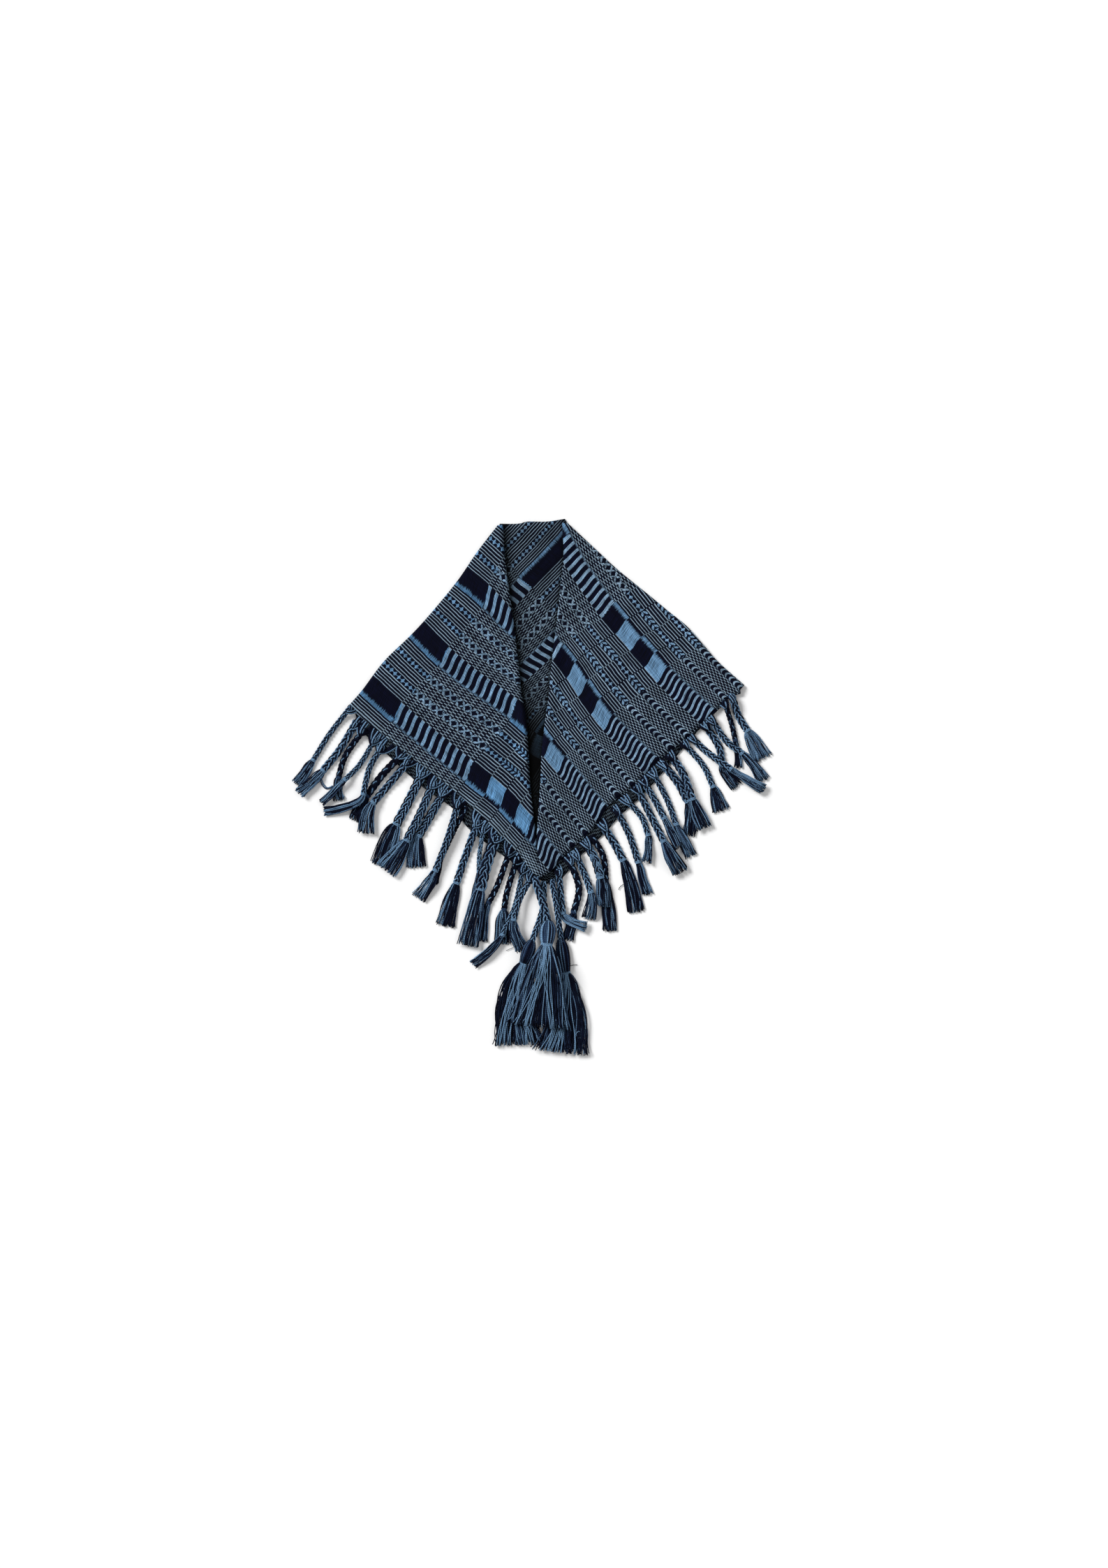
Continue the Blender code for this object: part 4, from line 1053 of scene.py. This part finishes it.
def add_strays(yarns):
    """Stray threads of a piece, over its top or just above the table."""
    for name, radius, tone, points in STRAYS:
        if name != yarns.node:
            continue
        plan = Curve(points).at(np.linspace(0, 1, 18))
        tops = [yarns.solid.height(x, y, True) for x, y in plan]
        levels = soften([1.5 if np.isnan(top) else top + 1.1 for top in tops], 3)
        yarns.add(np.column_stack([plan, levels]), radius, tone)


def start_braid(name, seed, path, wide, share):
    """The braid of a piece: its yarns, its plan points, and its lower and upper surface."""
    yarns = Yarns(name, seed)
    curve = Curve(path)
    plan = curve.at(np.linspace(0, 1, int(curve.length / SECTION_STEP)))
    side = directions(plan)
    low, high = yarns.solid.spans(plan, side, np.full(len(plan), wide / 2))
    low, high = soften(low), soften(high)
    add_braid(yarns, plan, side, low, high, wide, share)
    return yarns, plan, low, high


def strand_piece(row, number, material):
    """A braid of the fringe with its wrap and its tassel."""
    name, path, tip, wide, spread, share = row
    yarns, plan, low, high = start_braid(name, STRAND_SEED + number, path, wide, share)
    if not name.endswith("_under"):
        add_roots(yarns, plan, name.split("_")[0], number % 2, share)
    knot, leave = plan[-1], unit(plan[-1] - plan[-3])
    tip = np.array(tip, float)
    axis = tassel_axis(leave, knot, tip, 10)
    shares = np.linspace(0, 1, len(axis))
    neck = NARROW_NECK * wide
    widths = neck + (spread - neck) * shares ** 0.6
    across = directions(axis)
    low_skirt, high_skirt = yarns.solid.spans(axis, across, widths / 2)
    count = int(22 + spread)
    add_skirt(yarns, axis, across, low_skirt, high_skirt, widths, count, share, SMALL_WAVE)
    centre = (*(knot + leave * 0.5), (low[-1] + high[-1]) / 2)
    add_wrap(yarns, centre, leave, neck / 2 + 0.4, (high[-1] - low[-1]) / 2 - 0.1, 0.75,
             0.85 if share > 0.3 else 0.3)
    add_strays(yarns)
    return yarns.build(material)


def corner_tassel_piece(row, number, material):
    """A corner tassel: neck braid, bound head and full skirt."""
    name, path, waist, tip, wide, head, spread, share = row
    yarns, plan, _, _ = start_braid(name, CORNER_SEED + number, path, wide, share + 0.2)
    knot, waist, tip = plan[-1], np.array(waist, float), np.array(tip, float)
    axis = np.linspace(knot - (waist - knot) * 0.12, waist, len(HEAD_SWELL))
    across = directions(axis)
    swell = np.array(HEAD_SWELL)
    low, high = yarns.solid.spans(axis, across, head * swell / 2)
    middle, depth = (low + high) / 2, (high - low) / 2
    for k in range(HEAD_YARNS):
        angle = 2 * math.pi * k / HEAD_YARNS
        ring = np.column_stack([axis + across * (math.cos(angle) * (head / 2 - 1)
                                                 * swell)[:, None],
                                middle + math.sin(angle) * (depth - 0.9)])
        yarns.add(ring, HEAD_YARN, pick_tone(yarns.random, share - 0.12, 0.25))
    leave = unit(waist - knot)
    skirt_line = tassel_axis(leave, waist, tip, 18)
    shares = np.linspace(0, 1, len(skirt_line))
    widths = WAIST * head + (spread - WAIST * head) * shares ** 0.85
    across = directions(skirt_line)
    low, high = yarns.solid.spans(skirt_line, across, widths / 2)
    drop = (high - low) / len(SKIRT_LAYERS)
    for layer, count in enumerate(SKIRT_LAYERS):
        add_skirt(yarns, skirt_line, across, low + drop * layer, low + drop * (layer + 1),
                  widths * (1.04 - 0.04 * layer), count, share, LARGE_WAVE, LIT.get(name))
    add_loose(yarns, skirt_line, across, high, widths)
    centre = (*waist, (low[0] + high[0]) / 2)
    add_wrap(yarns, centre, leave, 0.36 * head, (high[0] - low[0]) / 2, 0.85, 0.9)
    add_strays(yarns)
    return yarns.build(material)


def add_floor():
    """A white floor under the scarf."""
    reach = FLOOR_REACH
    mesh = bpy.data.meshes.new("floor")
    mesh.from_pydata([(-reach, -reach, 0), (reach, -reach, 0), (reach, reach, 0),
                      (-reach, reach, 0)], [], [(0, 1, 2, 3)])
    mesh.materials.append(new_material("floor", FLOOR)[0])
    put("floor", mesh)


def add_sun(name, towards, soft, strength):
    """Distant soft light that falls along a direction; soft is its width in degrees."""
    data = bpy.data.lights.new(name, "SUN")
    data.angle = math.radians(soft)
    data.energy = strength
    put(name, data).rotation_euler = Vector(towards).to_track_quat("-Z", "Y").to_euler()


def add_camera():
    """Straight down, one photo pixel to a millimetre."""
    data = bpy.data.cameras.new("camera")
    data.lens = LENS
    data.sensor_width = SENSOR
    data.clip_end = FAR
    item = put("camera", data)
    middle = to_part([PICTURE[0] / 2, PICTURE[1] / 2, 0])
    item.location = (middle[0], middle[1], LENS / SENSOR * PICTURE[1] / 1000)
    bpy.context.scene.camera = item


def add_world():
    """Even white light from all round."""
    world = bpy.data.worlds.new("world")
    world.use_nodes = True
    ground = world.node_tree.nodes["Background"]
    ground.inputs["Color"].default_value = (1, 1, 1, 1)
    ground.inputs["Strength"].default_value = SKY
    bpy.context.scene.world = world
    bpy.context.scene.view_settings.view_transform = "Standard"


def dress(item, node):
    """Puts a piece in the place of its solid."""
    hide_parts(node)
    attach(item, "root")
    return item


def main():
    """Dresses every solid, and adds the floor, the lights and the camera."""
    cloth, yarn = weave_material(), yarn_material()
    # Each cloth piece: its shape, the lean of its floats along u, and the side of its combs
    shapes = [("back_layers", back_shape, ((0, 800), (1.5, 1.5)), 1),
              ("left_wing", left_wing_shape, ((0, 800), (3.0, 3.0)), -1),
              ("right_wing", right_wing_shape, ((60, 205, 330), (-4.5, -3.0, -1.0)), 1)]
    for name, shape, slant, comb_side in shapes:
        item = cloth_piece("dressed_" + name, *shape(), slant, comb_side, cloth)
        dress(item, name)
    fringe = dict(left=[], right=[], corner=[])
    for number, row in enumerate(STRANDS):
        item = dress(strand_piece(row, number, yarn), row[0])
        fringe[row[0].split("_")[0]].append(item)
    for number, row in enumerate(CORNER_TASSELS):
        item = dress(corner_tassel_piece(row, number, yarn), row[0])
        fringe["corner"].append(item)
    add_floor()
    for name, (towards, soft, strength) in SUNS.items():
        add_sun(name, towards, soft, strength)
    add_camera()
    add_world()


main()
